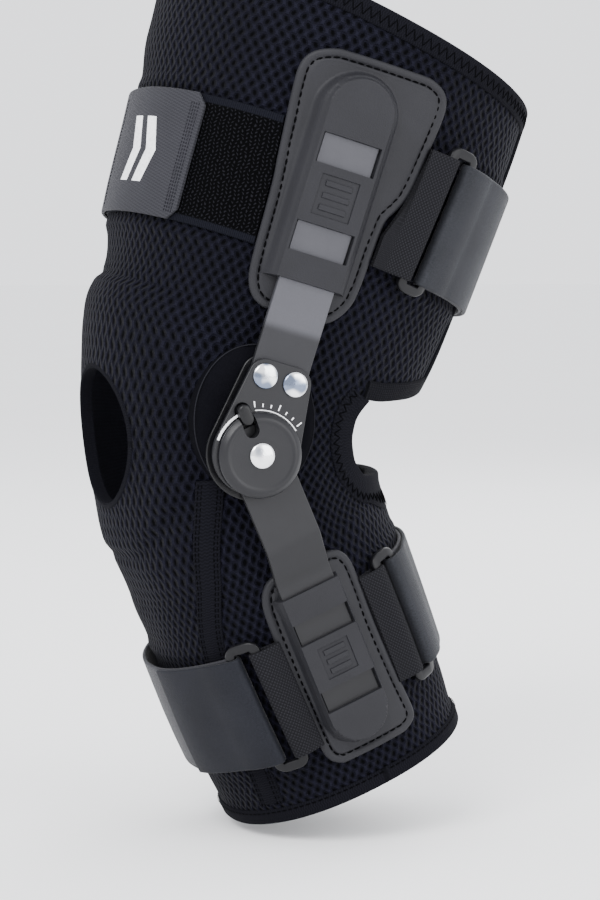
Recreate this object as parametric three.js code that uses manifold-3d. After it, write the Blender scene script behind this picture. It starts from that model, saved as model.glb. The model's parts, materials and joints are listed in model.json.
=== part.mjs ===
// A hinged knee orthosis in the pose of a bent knee: a sleeve of spacer mesh with bound edges, straps
// with loops, and on each side a hinge whose two bars stand in moulded pockets.
// Lengths are in millimetres, +Z is up, +X is the outer side of the leg and -Y is its front.
// The origin is the middle of the knee.
import * as THREE from 'three';
import Module from 'manifold-3d';

const wasm = await Module();
wasm.setup();

// Driving dimensions
const thighLength = 168;
const calfLength = 133;
const kneeWidth = 112;
const kneeDepth = 118;
const sleeveWall = 3.5;
const barWidth = 22;
const barThickness = 2.6;
const thighStrapWidth = 48;
const calfStrapWidth = 44;
const upperPocketLength = 0.583 * thighLength;
const lowerPocketLength = 0.586 * calfLength;
const hingeRadius = 15.8;
const bindingWidth = 5.5;
const bindingThick = 1;
const rimWidth = 3.5;
const hollowWidth = 8;
const flapTapeWidth = 6.5;
const channelWidth = 11;
const channelThick = 0.8;
const gap = 0.4;

// Angles of the bent knee
const degree = Math.PI / 180;
const thighLean = 19.5 * degree;
const calfLean = 24 * degree;
const upperBarLean = 16.3 * degree;
const lowerBarLean = 23.2 * degree;

// How the leg runs: a straight calf, a bend at the knee and a straight thigh
const bend = 0.3 * kneeDepth;
const turn = thighLean + calfLean;
const bendRadius = 2 * bend / turn;
const tangentRun = bendRadius * Math.tan(turn / 2);

function leanAt(v) {
  const share = Math.min(1, Math.max(-1, v / bend));
  return (thighLean - calfLean) / 2 + share * turn / 2;
}

function bareAxis(v) {
  const inside = Math.min(bend, Math.max(-bend, v));
  const from = leanAt(0);
  const to = leanAt(inside);
  return [
    bendRadius * (Math.cos(from) - Math.cos(to)) + (v - inside) * Math.sin(to),
    bendRadius * (Math.sin(to) - Math.sin(from)) + (v - inside) * Math.cos(to),
  ];
}

// The two straight runs meet in the origin
const bendEnd = bareAxis(bend);
const meetingPoint = [
  bendEnd[0] - tangentRun * Math.sin(thighLean),
  bendEnd[1] - tangentRun * Math.cos(thighLean),
];

function axisAt(v) {
  const [y, z] = bareAxis(v);
  return [y - meetingPoint[0], z - meetingPoint[1]];
}

// Sections of the sleeve's outside, from the lower hem to the upper one: along is a share of the calf's
// or the thigh's length, half of the knee's half width, front and back of its half depth.
const SECTIONS = [
  { along: -1.10, half: 0.88, front: 0.84, back: 0.79 },
  { along: -0.95, half: 0.91, front: 0.86, back: 0.82 },
  { along: -0.70, half: 0.96, front: 0.88, back: 0.87 },
  { along: -0.45, half: 0.98, front: 0.86, back: 0.91 },
  { along: -0.22, half: 0.97, front: 0.85, back: 0.94 },
  { along: 0.00, half: 1.00, front: 0.92, back: 1.00 },
  { along: 0.15, half: 1.04, front: 1.01, back: 1.08 },
  { along: 0.26, half: 1.10, front: 1.05, back: 1.15 },
  { along: 0.35, half: 1.14, front: 1.06, back: 1.19 },
  { along: 0.45, half: 1.17, front: 1.13, back: 1.21 },
  { along: 0.75, half: 1.27, front: 1.21, back: 1.24 },
  { along: 0.88, half: 1.30, front: 1.28, back: 1.25 },
  { along: 1.15, half: 1.34, front: 1.32, back: 1.24 },
];
const squareness = 2.2;

function sectionRun(row) {
  return row.along * (row.along < 0 ? calfLength : thighLength);
}

function sectionSlope(key, k) {
  const before = SECTIONS[Math.max(0, k - 1)];
  const after = SECTIONS[Math.min(SECTIONS.length - 1, k + 1)];
  return (after[key] - before[key]) / (sectionRun(after) - sectionRun(before));
}

// One column of the table at a run along the leg, on a smooth curve through its rows
function columnAt(key, v) {
  let i = 0;
  while (i < SECTIONS.length - 2 && sectionRun(SECTIONS[i + 1]) < v) i += 1;
  const run = sectionRun(SECTIONS[i + 1]) - sectionRun(SECTIONS[i]);
  const t = (v - sectionRun(SECTIONS[i])) / run;
  const ease = t * t * (3 - 2 * t);
  return (1 - ease) * SECTIONS[i][key] + ease * SECTIONS[i + 1][key]
    + t * (1 - t) * (1 - t) * run * sectionSlope(key, i)
    - t * t * (1 - t) * run * sectionSlope(key, i + 1);
}

// A point of the sleeve's outside: u is the angle round the leg, 0 at its outer side and a quarter turn
// at its back, v is the run along the leg, up from the knee.
function surface(u, v) {
  const half = columnAt('half', v) * kneeWidth / 2;
  const depth = columnAt(Math.sin(u) > 0 ? 'back' : 'front', v) * kneeDepth / 2;
  const radius = (Math.abs(Math.cos(u) / half) ** squareness
    + Math.abs(Math.sin(u) / depth) ** squareness) ** (-1 / squareness);
  const [y, z] = axisAt(v);
  const behind = radius * Math.sin(u);
  return new THREE.Vector3(
    radius * Math.cos(u),
    y + behind * Math.cos(leanAt(v)),
    z - behind * Math.sin(leanAt(v)),
  );
}

function outward(u, v) {
  const round = surface(u + 0.01, v).sub(surface(u - 0.01, v));
  const along = surface(u, v + 0.5).sub(surface(u, v - 0.5));
  return round.cross(along).normalize();
}

function onSleeve(u, v, lift) {
  return surface(u, v).addScaledVector(outward(u, v), lift);
}

// The turn round the leg that a length on the sleeve takes
function turnFor(length, u, v) {
  return length * 0.02 / surface(u + 0.01, v).distanceTo(surface(u - 0.01, v));
}

// A point of the sleeve's outer side, from its places to the back and up
function besideLeg(y, z, lift) {
  let v = z;
  let behind = 0;
  for (let step = 0; step < 12; step += 1) {
    const [axisY, axisZ] = axisAt(v);
    const lean = leanAt(v);
    behind = (y - axisY) * Math.cos(lean) - (z - axisZ) * Math.sin(lean);
    v += (y - axisY) * Math.sin(lean) + (z - axisZ) * Math.cos(lean);
  }
  const half = columnAt('half', v) * kneeWidth / 2;
  const depth = columnAt(behind > 0 ? 'back' : 'front', v) * kneeDepth / 2;
  const share = Math.min(0.999, Math.abs(behind / depth));
  const u = Math.atan2(behind, half * (1 - share ** squareness) ** (1 / squareness));
  return onSleeve(u, v, lift);
}

function blend(from, to, share) {
  return from + (to - from) * share;
}

// Reads a table of [place, value] pairs, straight between its rows
function readTable(rows, place) {
  let i = 0;
  while (i < rows.length - 2 && rows[i + 1][0] < place) i += 1;
  const share = (place - rows[i][0]) / (rows[i + 1][0] - rows[i][0]);
  return blend(rows[i][1], rows[i + 1][1], Math.min(1, Math.max(0, share)));
}

function solid(points, faces) {
  return new wasm.Manifold(new wasm.Mesh({
    numProp: 3,
    vertProperties: new Float32Array(points.flatMap((point) => point.toArray())),
    triVerts: new Uint32Array(faces),
  }));
}

// A closed body between two grids of points, low(s, t) and high(s, t). s and t run from 0 to 1, and s,
// t and the way from low to high are right-handed. A ring joins its last column to its first.
function slab(columns, rows, low, high, ring = false) {
  const wide = ring ? columns : columns + 1;
  const points = [];
  const faces = [];
  const at = (layer, i, j) => (layer * (rows + 1) + j) * wide + i % wide;
  const quad = (a, b, c, d) => faces.push(a, b, c, a, c, d);
  for (const layer of [low, high]) {
    for (let j = 0; j <= rows; j += 1) {
      for (let i = 0; i < wide; i += 1) points.push(layer(i / columns, j / rows));
    }
  }
  for (let i = 0; i < columns; i += 1) {
    for (let j = 0; j < rows; j += 1) {
      quad(at(1, i, j), at(1, i + 1, j), at(1, i + 1, j + 1), at(1, i, j + 1));
      quad(at(0, i, j), at(0, i, j + 1), at(0, i + 1, j + 1), at(0, i + 1, j));
    }
    quad(at(0, i, 0), at(0, i + 1, 0), at(1, i + 1, 0), at(1, i, 0));
    quad(at(0, i + 1, rows), at(0, i, rows), at(1, i, rows), at(1, i + 1, rows));
  }
  for (let j = 0; j < rows && !ring; j += 1) {
    quad(at(0, 0, j + 1), at(0, 0, j), at(1, 0, j), at(1, 0, j + 1));
    quad(at(0, columns, j), at(0, columns, j + 1), at(1, columns, j + 1), at(1, columns, j));
  }
  return solid(points, faces);
}

// Triangles over an outline, turned the way that the outline runs
function capFaces(outline) {
  const way = Math.sign(THREE.ShapeUtils.area(outline));
  return THREE.ShapeUtils.triangulateShape(outline, []).map(([a, b, c]) => {
    const facing = THREE.ShapeUtils.area([outline[a], outline[b], outline[c]]);
    return facing * way > 0 ? [a, b, c] : [a, c, b];
  });
}

// A closed body through outlines of as many points each. place(point, k) puts a point of outline k,
// and the outlines run anticlockwise seen from the last towards the first.
function loft(outlines, place, ring = false) {
  const size = outlines[0].length;
  const points = outlines.flatMap((outline, k) => outline.map((point) => place(point, k)));
  const faces = [];
  const spans = ring ? outlines.length : outlines.length - 1;
  for (let k = 0; k < spans; k += 1) {
    const next = (k + 1) % outlines.length;
    for (let i = 0; i < size; i += 1) {
      const j = (i + 1) % size;
      faces.push(k * size + i, k * size + j, next * size + j);
      faces.push(k * size + i, next * size + j, next * size + i);
    }
  }
  if (!ring) {
    const last = (outlines.length - 1) * size;
    for (const [a, b, c] of capFaces(outlines[0])) faces.push(a, c, b);
    for (const [a, b, c] of capFaces(outlines[spans])) faces.push(last + a, last + b, last + c);
  }
  return solid(points, faces);
}

// A frame at the hinge's pivot: x along a bar away from it, z out of the leg's side
const pivotBehind = -0.01 * kneeDepth;
const pivotUp = 0.04 * kneeDepth;

function barFrame(lean, way) {
  const along = new THREE.Vector3(0, Math.sin(lean), way * Math.cos(lean));
  const out = new THREE.Vector3(1, 0, 0);
  const frame = new THREE.Matrix4().makeBasis(along, out.clone().cross(along), out);
  return frame.setPosition(0, pivotBehind, pivotUp);
}

const upperFrame = barFrame(upperBarLean, 1);
const lowerFrame = barFrame(lowerBarLean, -1);

function inFrame(frame, along, side, out) {
  return new THREE.Vector3(along, side, out).applyMatrix4(frame);
}

function sleeveInFrame(frame, along, side, lift) {
  const place = inFrame(frame, along, side, 0);
  return besideLeg(place.y, place.z, lift);
}

// Layers of the hinge, outward from the sleeve
const kneeSide = kneeWidth / 2;
const padOut = kneeSide + 6.5;
const backPlate = [padOut + gap, padOut + gap + 1.6];
const barLayer = [backPlate[1] + gap, backPlate[1] + gap + barThickness];
const headPlate = [barLayer[1] + gap, barLayer[1] + gap + 2];
const capLayer = [headPlate[1] + gap, headPlate[1] + gap + 3];
const rivetAlong = 1.8 * hingeRadius;
const rivetAside = 0.27 * barWidth;
const rivetRadius = 0.3 * hingeRadius;
const shaftRadius = 0.5 * rivetRadius;
const headCorner = 0.4 * hingeRadius;

// The sleeve, cut at the kneecap and down the back
const roundCount = 32;
const upCount = 18;
const rowCrowding = 0.08;
const hemDrop = 0.047 * thighLength;

function topHem(u) {
  return thighLength * 1.012 - hemDrop * Math.sin(u);
}

// The run of the sleeve's row t, with its rows crowded at the bend
function sleeveRun(u, t) {
  return blend(-calfLength, topHem(u), t + rowCrowding * Math.sin(2 * Math.PI * t));
}

const kneecap = { u: -82 * degree, v: 6.5, halfTurn: 27 * degree, halfRun: 17.5, rows: 10 };

function kneecapEdge(s, t) {
  const angle = Math.PI * (t * kneecap.rows + 0.5) / (kneecap.rows + 1);
  return [
    kneecap.u + (2 * s - 1) * kneecap.halfTurn * Math.sin(angle),
    kneecap.v - kneecap.halfRun * Math.cos(angle),
  ];
}

// The outer edge of the opening down the back: v as a share of the knee's depth, u in degrees
const BACK_EDGE = [
  { v: -0.19, u: 74 },
  { v: -0.175, u: 58 },
  { v: -0.13, u: 45 },
  { v: -0.03, u: 38 },
  { v: 0.09, u: 34.5 },
  { v: 0.20, u: 33.5 },
  { v: 0.305, u: 35 },
  { v: 0.335, u: 45 },
  { v: 0.37, u: 57 },
  { v: 0.405, u: 68 },
  { v: 0.52, u: 70 },
  { v: 0.75, u: 70 },
  { v: 1.00, u: 70 },
  { v: 1.20, u: 70 },
  { v: 1.36, u: 70 },
];
const hollowTop = 6;
const flapCorner = 9;
const backTop = BACK_EDGE.length - 1;

// A place on that edge by its row in the table, whole or part
function backEdge(row) {
  const i = Math.min(backTop - 1, Math.floor(row));
  const u = blend(BACK_EDGE[i].u, BACK_EDGE[i + 1].u, row - i);
  return [u * degree, blend(BACK_EDGE[i].v, BACK_EDGE[i + 1].v, row - i) * kneeDepth];
}

function cutThrough(columns, rows, at) {
  const layer = (lift) => (s, t) => onSleeve(...at(s, t), lift);
  return slab(columns, rows, layer(-3 * sleeveWall), layer(2 * sleeveWall));
}

function makeSleeve() {
  const layer = (lift) => (s, t) => {
    const u = 2 * Math.PI * s;
    return onSleeve(u, sleeveRun(u, t), lift);
  };
  const kneecapCut = cutThrough(4, kneecap.rows, kneecapEdge);
  const backCut = cutThrough(10, 2 * backTop, (s, t) => {
    const [u, v] = backEdge(t * backTop);
    return [blend(u, Math.PI - u, s), t < 1 ? v : 1.1 * thighLength];
  });
  return slab(roundCount, upCount, layer(-sleeveWall), layer(0), true)
    .subtract(kneecapCut).subtract(backCut);
}

// How u and v change with each millimetre along the sleeve to the left of a path's direction
function leftStep(here, ahead, behind) {
  const left = outward(...here).cross(surface(...ahead).sub(surface(...behind))).normalize();
  const [u, v] = here;
  const byTurn = surface(u + 0.01, v).sub(surface(u - 0.01, v)).divideScalar(0.02);
  const byRun = surface(u, v + 0.5).sub(surface(u, v - 0.5));
  const [uu, uv, vv] = [byTurn.dot(byTurn), byTurn.dot(byRun), byRun.dot(byRun)];
  const [leftU, leftV] = [left.dot(byTurn), left.dot(byRun)];
  const scale = uu * vv - uv * uv;
  return [(leftU * vv - leftV * uv) / scale, (leftV * uu - leftU * uv) / scale];
}

// An edging folded over the sleeve's edge. The path's open side is on its left, and the edging reaches
// back over the fabric by its width, outside and inside.
function makeEdging(path, width, thick, ring = false) {
  const clear = 1.5 * gap;
  const inner = -sleeveWall - clear;
  const middle = width > bindingWidth ? [-0.5 * width] : [];
  const profile = [
    ...[-width, ...middle, clear].map((aside) => [aside, clear]),
    ...[clear, -0.7 * width].map((aside) => [aside, inner]),
    ...[-0.7 * width, clear + thick].map((aside) => [aside, inner - thick]),
    ...[clear + thick, ...middle, -width].map((aside) => [aside, clear + thick]),
  ].map(([aside, lift]) => new THREE.Vector2(aside, lift));
  const count = path.length;
  const near = (k) => path[ring ? (k + count) % count : Math.min(count - 1, Math.max(0, k))];
  const steps = path.map((here, k) => leftStep(here, near(k + 1), near(k - 1)));
  const place = (point, k) => {
    const [u, v] = path[k];
    return onSleeve(u + point.x * steps[k][0], v + point.x * steps[k][1], point.y);
  };
  return loft(path.map(() => profile), place, ring);
}

function hemPath(from, to, count, run) {
  const path = [];
  for (let i = 0; i <= count; i += 1) {
    const u = blend(from, to, i / count);
    path.push([u, run(u)]);
  }
  return path;
}

function makeTopBinding() {
  const corner = backEdge(backTop)[0];
  const path = hemPath(Math.PI - corner, 2 * Math.PI + corner, 32, topHem);
  return makeEdging(path, bindingWidth, bindingThick);
}

function makeBottomBinding() {
  const path = hemPath(2 * Math.PI, 0, roundCount, () => -calfLength).slice(0, -1);
  return makeEdging(path, bindingWidth, bindingThick, true);
}

function makeKneecapRim() {
  const path = [];
  for (let j = 0; j <= kneecap.rows; j += 1) path.push(kneecapEdge(1, j / kneecap.rows));
  for (let j = kneecap.rows; j >= 0; j -= 1) path.push(kneecapEdge(0, j / kneecap.rows));
  return makeEdging(path, rimWidth, bindingThick, true);
}

function makeHollowBinding() {
  const side = [];
  for (let row = hollowTop; row >= 0; row -= 0.5) side.push(backEdge(row));
  const [u, v] = backEdge(0);
  const floor = [0.2, 0.4, 0.6, 0.8].map((share) => [blend(u, Math.PI - u, share), v]);
  const otherSide = side.map((place) => [Math.PI - place[0], place[1]]).reverse();
  return makeEdging([...side, ...floor, ...otherSide], hollowWidth, 0.9 * bindingThick);
}

function makeFlapTape() {
  const path = [];
  for (let row = flapCorner; row > hollowTop; row -= 0.5) path.push(backEdge(row));
  const [u, v] = backEdge(hollowTop);
  path.push([u + 2.5 * degree, v + 1]);
  return makeEdging(path, flapTapeWidth, bindingThick);
}

function makeFlapEdge() {
  const [cornerU, cornerV] = backEdge(flapCorner);
  const top = topHem(cornerU) - bindingWidth - 1.5;
  const turns = BACK_EDGE.map((row) => [row.v * kneeDepth, row.u * degree]);
  const path = [];
  for (let i = 10; i >= 0; i -= 1) {
    const v = blend(cornerV + 9, top, i / 10);
    path.push([readTable(turns, v), v]);
  }
  return makeEdging(path, rimWidth + 0.5, bindingThick);
}

// The stay's channel down the front of the calf: [run, turn] of its middle line, as a share of the
// calf's length and in degrees
const CHANNEL = [
  [-0.94, -50],
  [-0.80, -48],
  [-0.44, -44],
  [-0.20, -31],
  [-0.11, -26],
];

function makeStayChannel() {
  const half = channelWidth / 2;
  const ends = [CHANNEL[0][0], CHANNEL[CHANNEL.length - 1][0]];
  const layer = (lift) => (s, t) => {
    const share = blend(...ends, t);
    const v = share * calfLength;
    const u = readTable(CHANNEL, share) * degree;
    return onSleeve(u + turnFor((2 * s - 1) * half, u, v), v, lift);
  };
  return slab(2, 12, layer(gap), layer(gap + channelThick));
}

// Straps: where each runs along the leg
const thighStrapLow = 0.447 * thighLength;
const thighStrapHigh = thighStrapLow + thighStrapWidth;
const rearStrapLow = 0.49 * thighLength;
const rearStrapHigh = rearStrapLow + thighStrapWidth;
const calfStrapHigh = -0.475 * calfLength;
const calfStrapLow = calfStrapHigh - calfStrapWidth;
const calfRearHigh = -0.42 * calfLength;
const calfRearLow = calfRearHigh - calfStrapWidth;
const strapThick = 1.5;
const webThick = 1.2;

// The pockets' outlines, from the mouth end to the far end: along as a share of the pocket's length,
// front and back as shares of the bar's width
const UPPER_POCKET = [
  { along: 0.000, front: 0.52, back: 0.50 },
  { along: 0.018, front: 0.70, back: 0.66 },
  { along: 0.060, front: 0.84, back: 0.83 },
  { along: 0.130, front: 0.92, back: 0.97 },
  { along: 0.400, front: 0.95, back: 1.01 },
  { along: 0.450, front: 0.96, back: 1.05 },
  { along: 0.490, front: 0.97, back: 1.18 },
  { along: 0.550, front: 1.00, back: 1.31 },
  { along: 0.640, front: 1.03, back: 1.36 },
  { along: 0.820, front: 1.09, back: 1.47 },
  { along: 0.905, front: 1.10, back: 1.50 },
  { along: 0.955, front: 1.00, back: 1.44 },
  { along: 0.985, front: 0.80, back: 1.28 },
  { along: 1.000, front: 0.54, back: 1.05 },
];
const LOWER_POCKET = [
  { along: 0.000, front: 0.45, back: 0.62 },
  { along: 0.020, front: 0.61, back: 0.82 },
  { along: 0.090, front: 0.77, back: 0.95 },
  { along: 0.220, front: 0.81, back: 0.94 },
  { along: 0.385, front: 0.81, back: 0.91 },
  { along: 0.550, front: 0.81, back: 0.92 },
  { along: 0.705, front: 0.79, back: 0.94 },
  { along: 0.860, front: 0.78, back: 0.99 },
  { along: 0.930, front: 0.75, back: 1.00 },
  { along: 0.975, front: 0.66, back: 0.93 },
  { along: 1.000, front: 0.50, back: 0.70 },
];
const upperPocketStart = 0.315 * thighLength;
const lowerPocketStart = 0.353 * calfLength;
const baseThick = 2.4;
const tunnelWall = 1.4;

function surfaceOut(frame, along, lift) {
  const reach = 0.5 * barWidth;
  const outs = [-reach, 0, reach].map((side) => sleeveInFrame(frame, along, side, lift).x);
  return Math.max(...outs);
}

// Where a bar's inner face lies along it: flat in the hinge, then out or in to its pocket
function barRows(frame, start, bendTo, end) {
  const seat = gap + baseThick + gap;
  const level = barLayer[0];
  const near = surfaceOut(frame, bendTo, seat);
  const middle = surfaceOut(frame, blend(bendTo, end, 0.5), seat);
  const far = surfaceOut(frame, end, seat);
  const lift = Math.max(0, middle - (near + far) / 2);
  return [[start, level], [bendFrom, level], [bendTo, near + lift], [end, far + lift]];
}

const bendFrom = 2.28 * hingeRadius;
const upperBendTo = upperPocketStart + 0.04 * upperPocketLength;
const lowerBendTo = lowerPocketStart + 0.05 * lowerPocketLength;
const upperBarStart = 1.27 * hingeRadius;
const upperBarEnd = upperPocketStart + 0.8 * upperPocketLength;
const lowerBarEnd = lowerPocketStart + 0.833 * lowerPocketLength;
const upperRows = barRows(upperFrame, upperBarStart, upperBendTo, upperBarEnd);
const lowerRows = barRows(lowerFrame, 0, lowerBendTo, lowerBarEnd);

function makeBar(frame, rows, grow, roundStart) {
  const half = barWidth / 2;
  const places = [];
  if (roundStart) {
    for (const turnShare of [0.06, 0.14, 0.24, 0.36]) {
      const angle = turnShare * Math.PI;
      places.push({ along: -half * Math.cos(angle), half: half * Math.sin(angle), out: rows[0][1] });
    }
  }
  for (const [along, out] of rows) places.push({ along, half, out });
  places[0].along -= grow;
  places[places.length - 1].along += grow;
  const layer = (shift) => (s, t) => {
    const place = places[Math.round(s * (places.length - 1))];
    return inFrame(frame, place.along, (2 * t - 1) * (place.half + grow), place.out + shift);
  };
  return slab(places.length - 1, 1, layer(-grow), layer(barThickness + grow));
}

// A frame on the flat outer face of a bar where it stands in its pocket
function faceFrame(frame, rows) {
  const [[fromAlong, fromOut], [toAlong, toOut]] = rows.slice(2);
  const from = inFrame(frame, fromAlong, 0, fromOut + barThickness);
  const along = inFrame(frame, toAlong, 0, toOut + barThickness).sub(from).normalize();
  const side = new THREE.Vector3().setFromMatrixColumn(frame, 1);
  const out = along.clone().cross(side);
  return new THREE.Matrix4().makeBasis(along, side, out).setPosition(from);
}

function makeBox(frame, from, to) {
  const layer = (out) => (s, t) => inFrame(frame, blend(from[0], to[0], s), blend(from[1], to[1], t), out);
  return slab(1, 1, layer(from[2]), layer(to[2]));
}

// A pocket's outline as a body between two lifts. frontWay is 1 where the frame's side points to the
// front and -1 where it points to the back.
function makePocketSlab(frame, outline, start, length, frontWay, low, high) {
  const last = outline.length - 1;
  const layer = (lift) => (s, t) => {
    const row = outline[Math.round(s * last)];
    const front = row.front * barWidth * frontWay;
    const back = -row.back * barWidth * frontWay;
    const side = blend(Math.min(front, back), Math.max(front, back), t);
    return sleeveInFrame(frame, start + row.along * length, side, lift);
  };
  return slab(last, 5, layer(low), layer(high));
}

// The raised tunnel over the bar: the widths of its section, and whether each stands at full height
const TUNNEL_SECTION = [[-1.28, 0], [-1.12, 0.8], [-1.04, 1], [1.04, 1], [1.12, 0.8], [1.28, 0]];
// Its rows towards the round end: share of the end's radius along, of the width, and of the height
const TUNNEL_END = [
  { along: 0, width: 1, height: 1 },
  { along: 0.38, width: 0.925, height: 1 },
  { along: 0.70, width: 0.72, height: 1 },
  { along: 0.87, width: 0.52, height: 1 },
  { along: 0.96, width: 0.42, height: 0.8 },
  { along: 1.08, width: 0.30, height: 0 },
];

function makeTunnel(frame, rows, mouth, tip) {
  const half = barWidth / 2;
  const radius = 1.1 * half;
  const places = [];
  for (const share of [0, 0.25, 0.5, 0.75]) {
    places.push({ along: blend(mouth, tip - radius, share), width: 1, height: 1 });
  }
  for (const row of TUNNEL_END) places.push({ ...row, along: tip - radius + row.along * radius });
  const low = (s, t) => {
    const place = places[Math.round(s * (places.length - 1))];
    const [width] = TUNNEL_SECTION[Math.round(t * 5)];
    return sleeveInFrame(frame, place.along, width * place.width * half, gap + 0.4 * baseThick);
  };
  const high = (s, t) => {
    const place = places[Math.round(s * (places.length - 1))];
    const [width, rise] = TUNNEL_SECTION[Math.round(t * 5)];
    const side = width * place.width * half;
    const foot = sleeveInFrame(frame, place.along, side, gap + 0.8 * baseThick).x;
    const roof = extended(rows, place.along) + barThickness + gap + tunnelWall;
    return inFrame(frame, place.along, side, blend(foot, roof, rise * place.height));
  };
  return slab(places.length - 1, 5, low, high);
}

// The bar's last straight run, carried on past its end
function extended(rows, along) {
  const [[fromAlong, fromOut], [toAlong, toOut]] = rows.slice(2);
  return blend(fromOut, toOut, (along - fromAlong) / (toAlong - fromAlong));
}

// mouth, tip, the windows' ends and the square's are shares of the pocket's length
function makePocket(parts) {
  const { frame, rows, outline, start, length, frontWay, windows } = parts;
  const [mouth, tip, near, far] = [parts.mouth, parts.tip, ...parts.square]
    .map((share) => start + share * length);
  const face = faceFrame(frame, rows);
  const from = rows[2][0];
  const reach = 0.49 * barWidth;
  const roof = gap + tunnelWall;
  let pocket = makePocketSlab(frame, outline, start, length, frontWay, gap, gap + baseThick)
    .add(makeTunnel(frame, rows, mouth, tip))
    .subtract(makeBar(frame, rows, gap, false));
  for (const [low, high] of windows) {
    const [lowEnd, highEnd] = [low, high].map((share) => start + share * length - from);
    pocket = pocket.subtract(makeBox(face, [lowEnd, -reach, -1], [highEnd, reach, 4 * roof]));
  }
  const half = (far - near) / 2;
  pocket = pocket.subtract(makeBox(face, [near - from, -half, roof - 0.5], [far - from, half, 4 * roof]));
  for (const share of [0.2, 0.5, 0.8]) {
    const middle = blend(near, far, share) - from;
    pocket = pocket.add(makeBox(face, [middle - 1, -0.7 * half, roof - 0.8], [middle + 1, 0.7 * half, roof]));
  }
  return pocket;
}

function makeUpperPocket() {
  return makePocket({
    frame: upperFrame,
    rows: upperRows,
    outline: UPPER_POCKET,
    start: upperPocketStart,
    length: upperPocketLength,
    frontWay: 1,
    mouth: 0.122,
    tip: 0.929,
    windows: [[0.230, 0.342], [0.566, 0.679]],
    square: [0.378, 0.531],
  });
}

function makeLowerPocket() {
  return makePocket({
    frame: lowerFrame,
    rows: lowerRows,
    outline: LOWER_POCKET,
    start: lowerPocketStart,
    length: lowerPocketLength,
    frontWay: -1,
    mouth: 0.109,
    tip: 0.923,
    windows: [[0.244, 0.353], [0.603, 0.712]],
    square: [0.397, 0.558],
  });
}

// Hinge
function circle(radius, count) {
  const points = [];
  for (let i = 0; i < count; i += 1) {
    const angle = 2 * Math.PI * i / count;
    points.push(new THREE.Vector2(radius * Math.cos(angle), radius * Math.sin(angle)));
  }
  return points;
}

// A round body on the pivot's line or beside it: rows of [radius, out]
function makeRound(along, side, rows, count) {
  const outlines = rows.map(([radius]) => circle(radius, count));
  const place = (point, k) => inFrame(upperFrame, along + point.x, side + point.y, rows[k][1]);
  return loft(outlines, place);
}

// The outline round the pivot's disc and the two head rivets
function plateOutline(discRadius, cornerRadius) {
  const spot = Math.hypot(rivetAlong, rivetAside);
  const tangent = Math.atan2(rivetAside, rivetAlong) + Math.acos((discRadius - cornerRadius) / spot);
  const points = [];
  const arc = (along, side, radius, from, to, count) => {
    for (let i = 0; i <= count; i += 1) {
      const angle = blend(from, to, i / count);
      points.push(new THREE.Vector2(along + radius * Math.cos(angle), side + radius * Math.sin(angle)));
    }
  };
  arc(rivetAlong, rivetAside, cornerRadius, 0, tangent, 4);
  arc(0, 0, discRadius, tangent, 2 * Math.PI - tangent, 18);
  arc(rivetAlong, -rivetAside, cornerRadius, 2 * Math.PI - tangent, 2 * Math.PI, 4);
  return points;
}

function makePlate(discRadius, cornerRadius, [low, high]) {
  const outline = plateOutline(discRadius, cornerRadius);
  const outs = [low, high];
  const plate = loft([outline, outline], (point, k) => inFrame(upperFrame, point.x, point.y, outs[k]));
  return drilled(plate, [[0, 0], [rivetAlong, rivetAside], [rivetAlong, -rivetAside]], low, high);
}

function drilled(body, places, low, high) {
  let result = body;
  for (const [along, side] of places) {
    const hole = [[shaftRadius + gap, low - 1], [shaftRadius + gap, high + 1]];
    result = result.subtract(makeRound(along, side, hole, 10));
  }
  return result;
}

// The lock's lever slides towards the pivot in a slot of the cap and the head plate
const leverTurn = 38 * degree;
const leverWidth = 4.8;
const leverLength = 8;
const leverRest = 1.02 * hingeRadius;
const leverTravel = 4.5;

function capsule(width, from, to) {
  const radius = width / 2;
  const points = [];
  for (const [middle, start] of [[to - radius, -Math.PI / 2], [from + radius, Math.PI / 2]]) {
    for (let i = 0; i <= 8; i += 1) {
      const angle = start + Math.PI * i / 8;
      points.push(new THREE.Vector2(middle + radius * Math.cos(angle), radius * Math.sin(angle)));
    }
  }
  return points;
}

const leverFrame = upperFrame.clone().multiply(new THREE.Matrix4().makeRotationZ(leverTurn));

function makeCapsule(width, from, to, layers) {
  const outlines = layers.map(([shrink]) => capsule(width - 2 * shrink, from + shrink, to - shrink));
  return loft(outlines, (point, k) => inFrame(leverFrame, point.x, point.y, layers[k][1]));
}

function makeLeverSlot() {
  const from = leverRest - leverLength / 2 - leverTravel - gap;
  const to = leverRest + leverLength / 2 + gap;
  return makeCapsule(leverWidth + 2 * gap, from, to, [[0, headPlate[0] - 1], [0, capLayer[1] + 1]]);
}

function makeLever() {
  const top = capLayer[1] + 0.6;
  const layers = [[0, headPlate[0] + 0.1], [0, top - 0.6], [0.6, top]];
  return makeCapsule(leverWidth, leverRest - leverLength / 2, leverRest + leverLength / 2, layers);
}

function makeHeadPlate() {
  return makePlate(0.97 * hingeRadius, headCorner, headPlate).subtract(makeLeverSlot());
}

function makeBackPlate() {
  return makePlate(1.1 * hingeRadius, 1.2 * headCorner, backPlate);
}

function makeCap() {
  const rows = [
    [hingeRadius, capLayer[0]],
    [hingeRadius, capLayer[0] + 1],
    [hingeRadius - 1.6, capLayer[1] - 0.4],
    [hingeRadius - 3, capLayer[1]],
  ];
  const cap = makeRound(0, 0, rows, 28);
  return drilled(cap, [[0, 0]], ...capLayer).subtract(makeLeverSlot());
}

function makeRivet(along, side, seat, radius) {
  const rows = [
    [shaftRadius, backPlate[0]],
    [shaftRadius, seat + gap],
    [radius, seat + gap],
    [0.8 * radius, seat + gap + 1.1],
    [0.4 * radius, seat + gap + 1.6],
  ];
  return makeRound(along, side, rows, 12);
}

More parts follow.
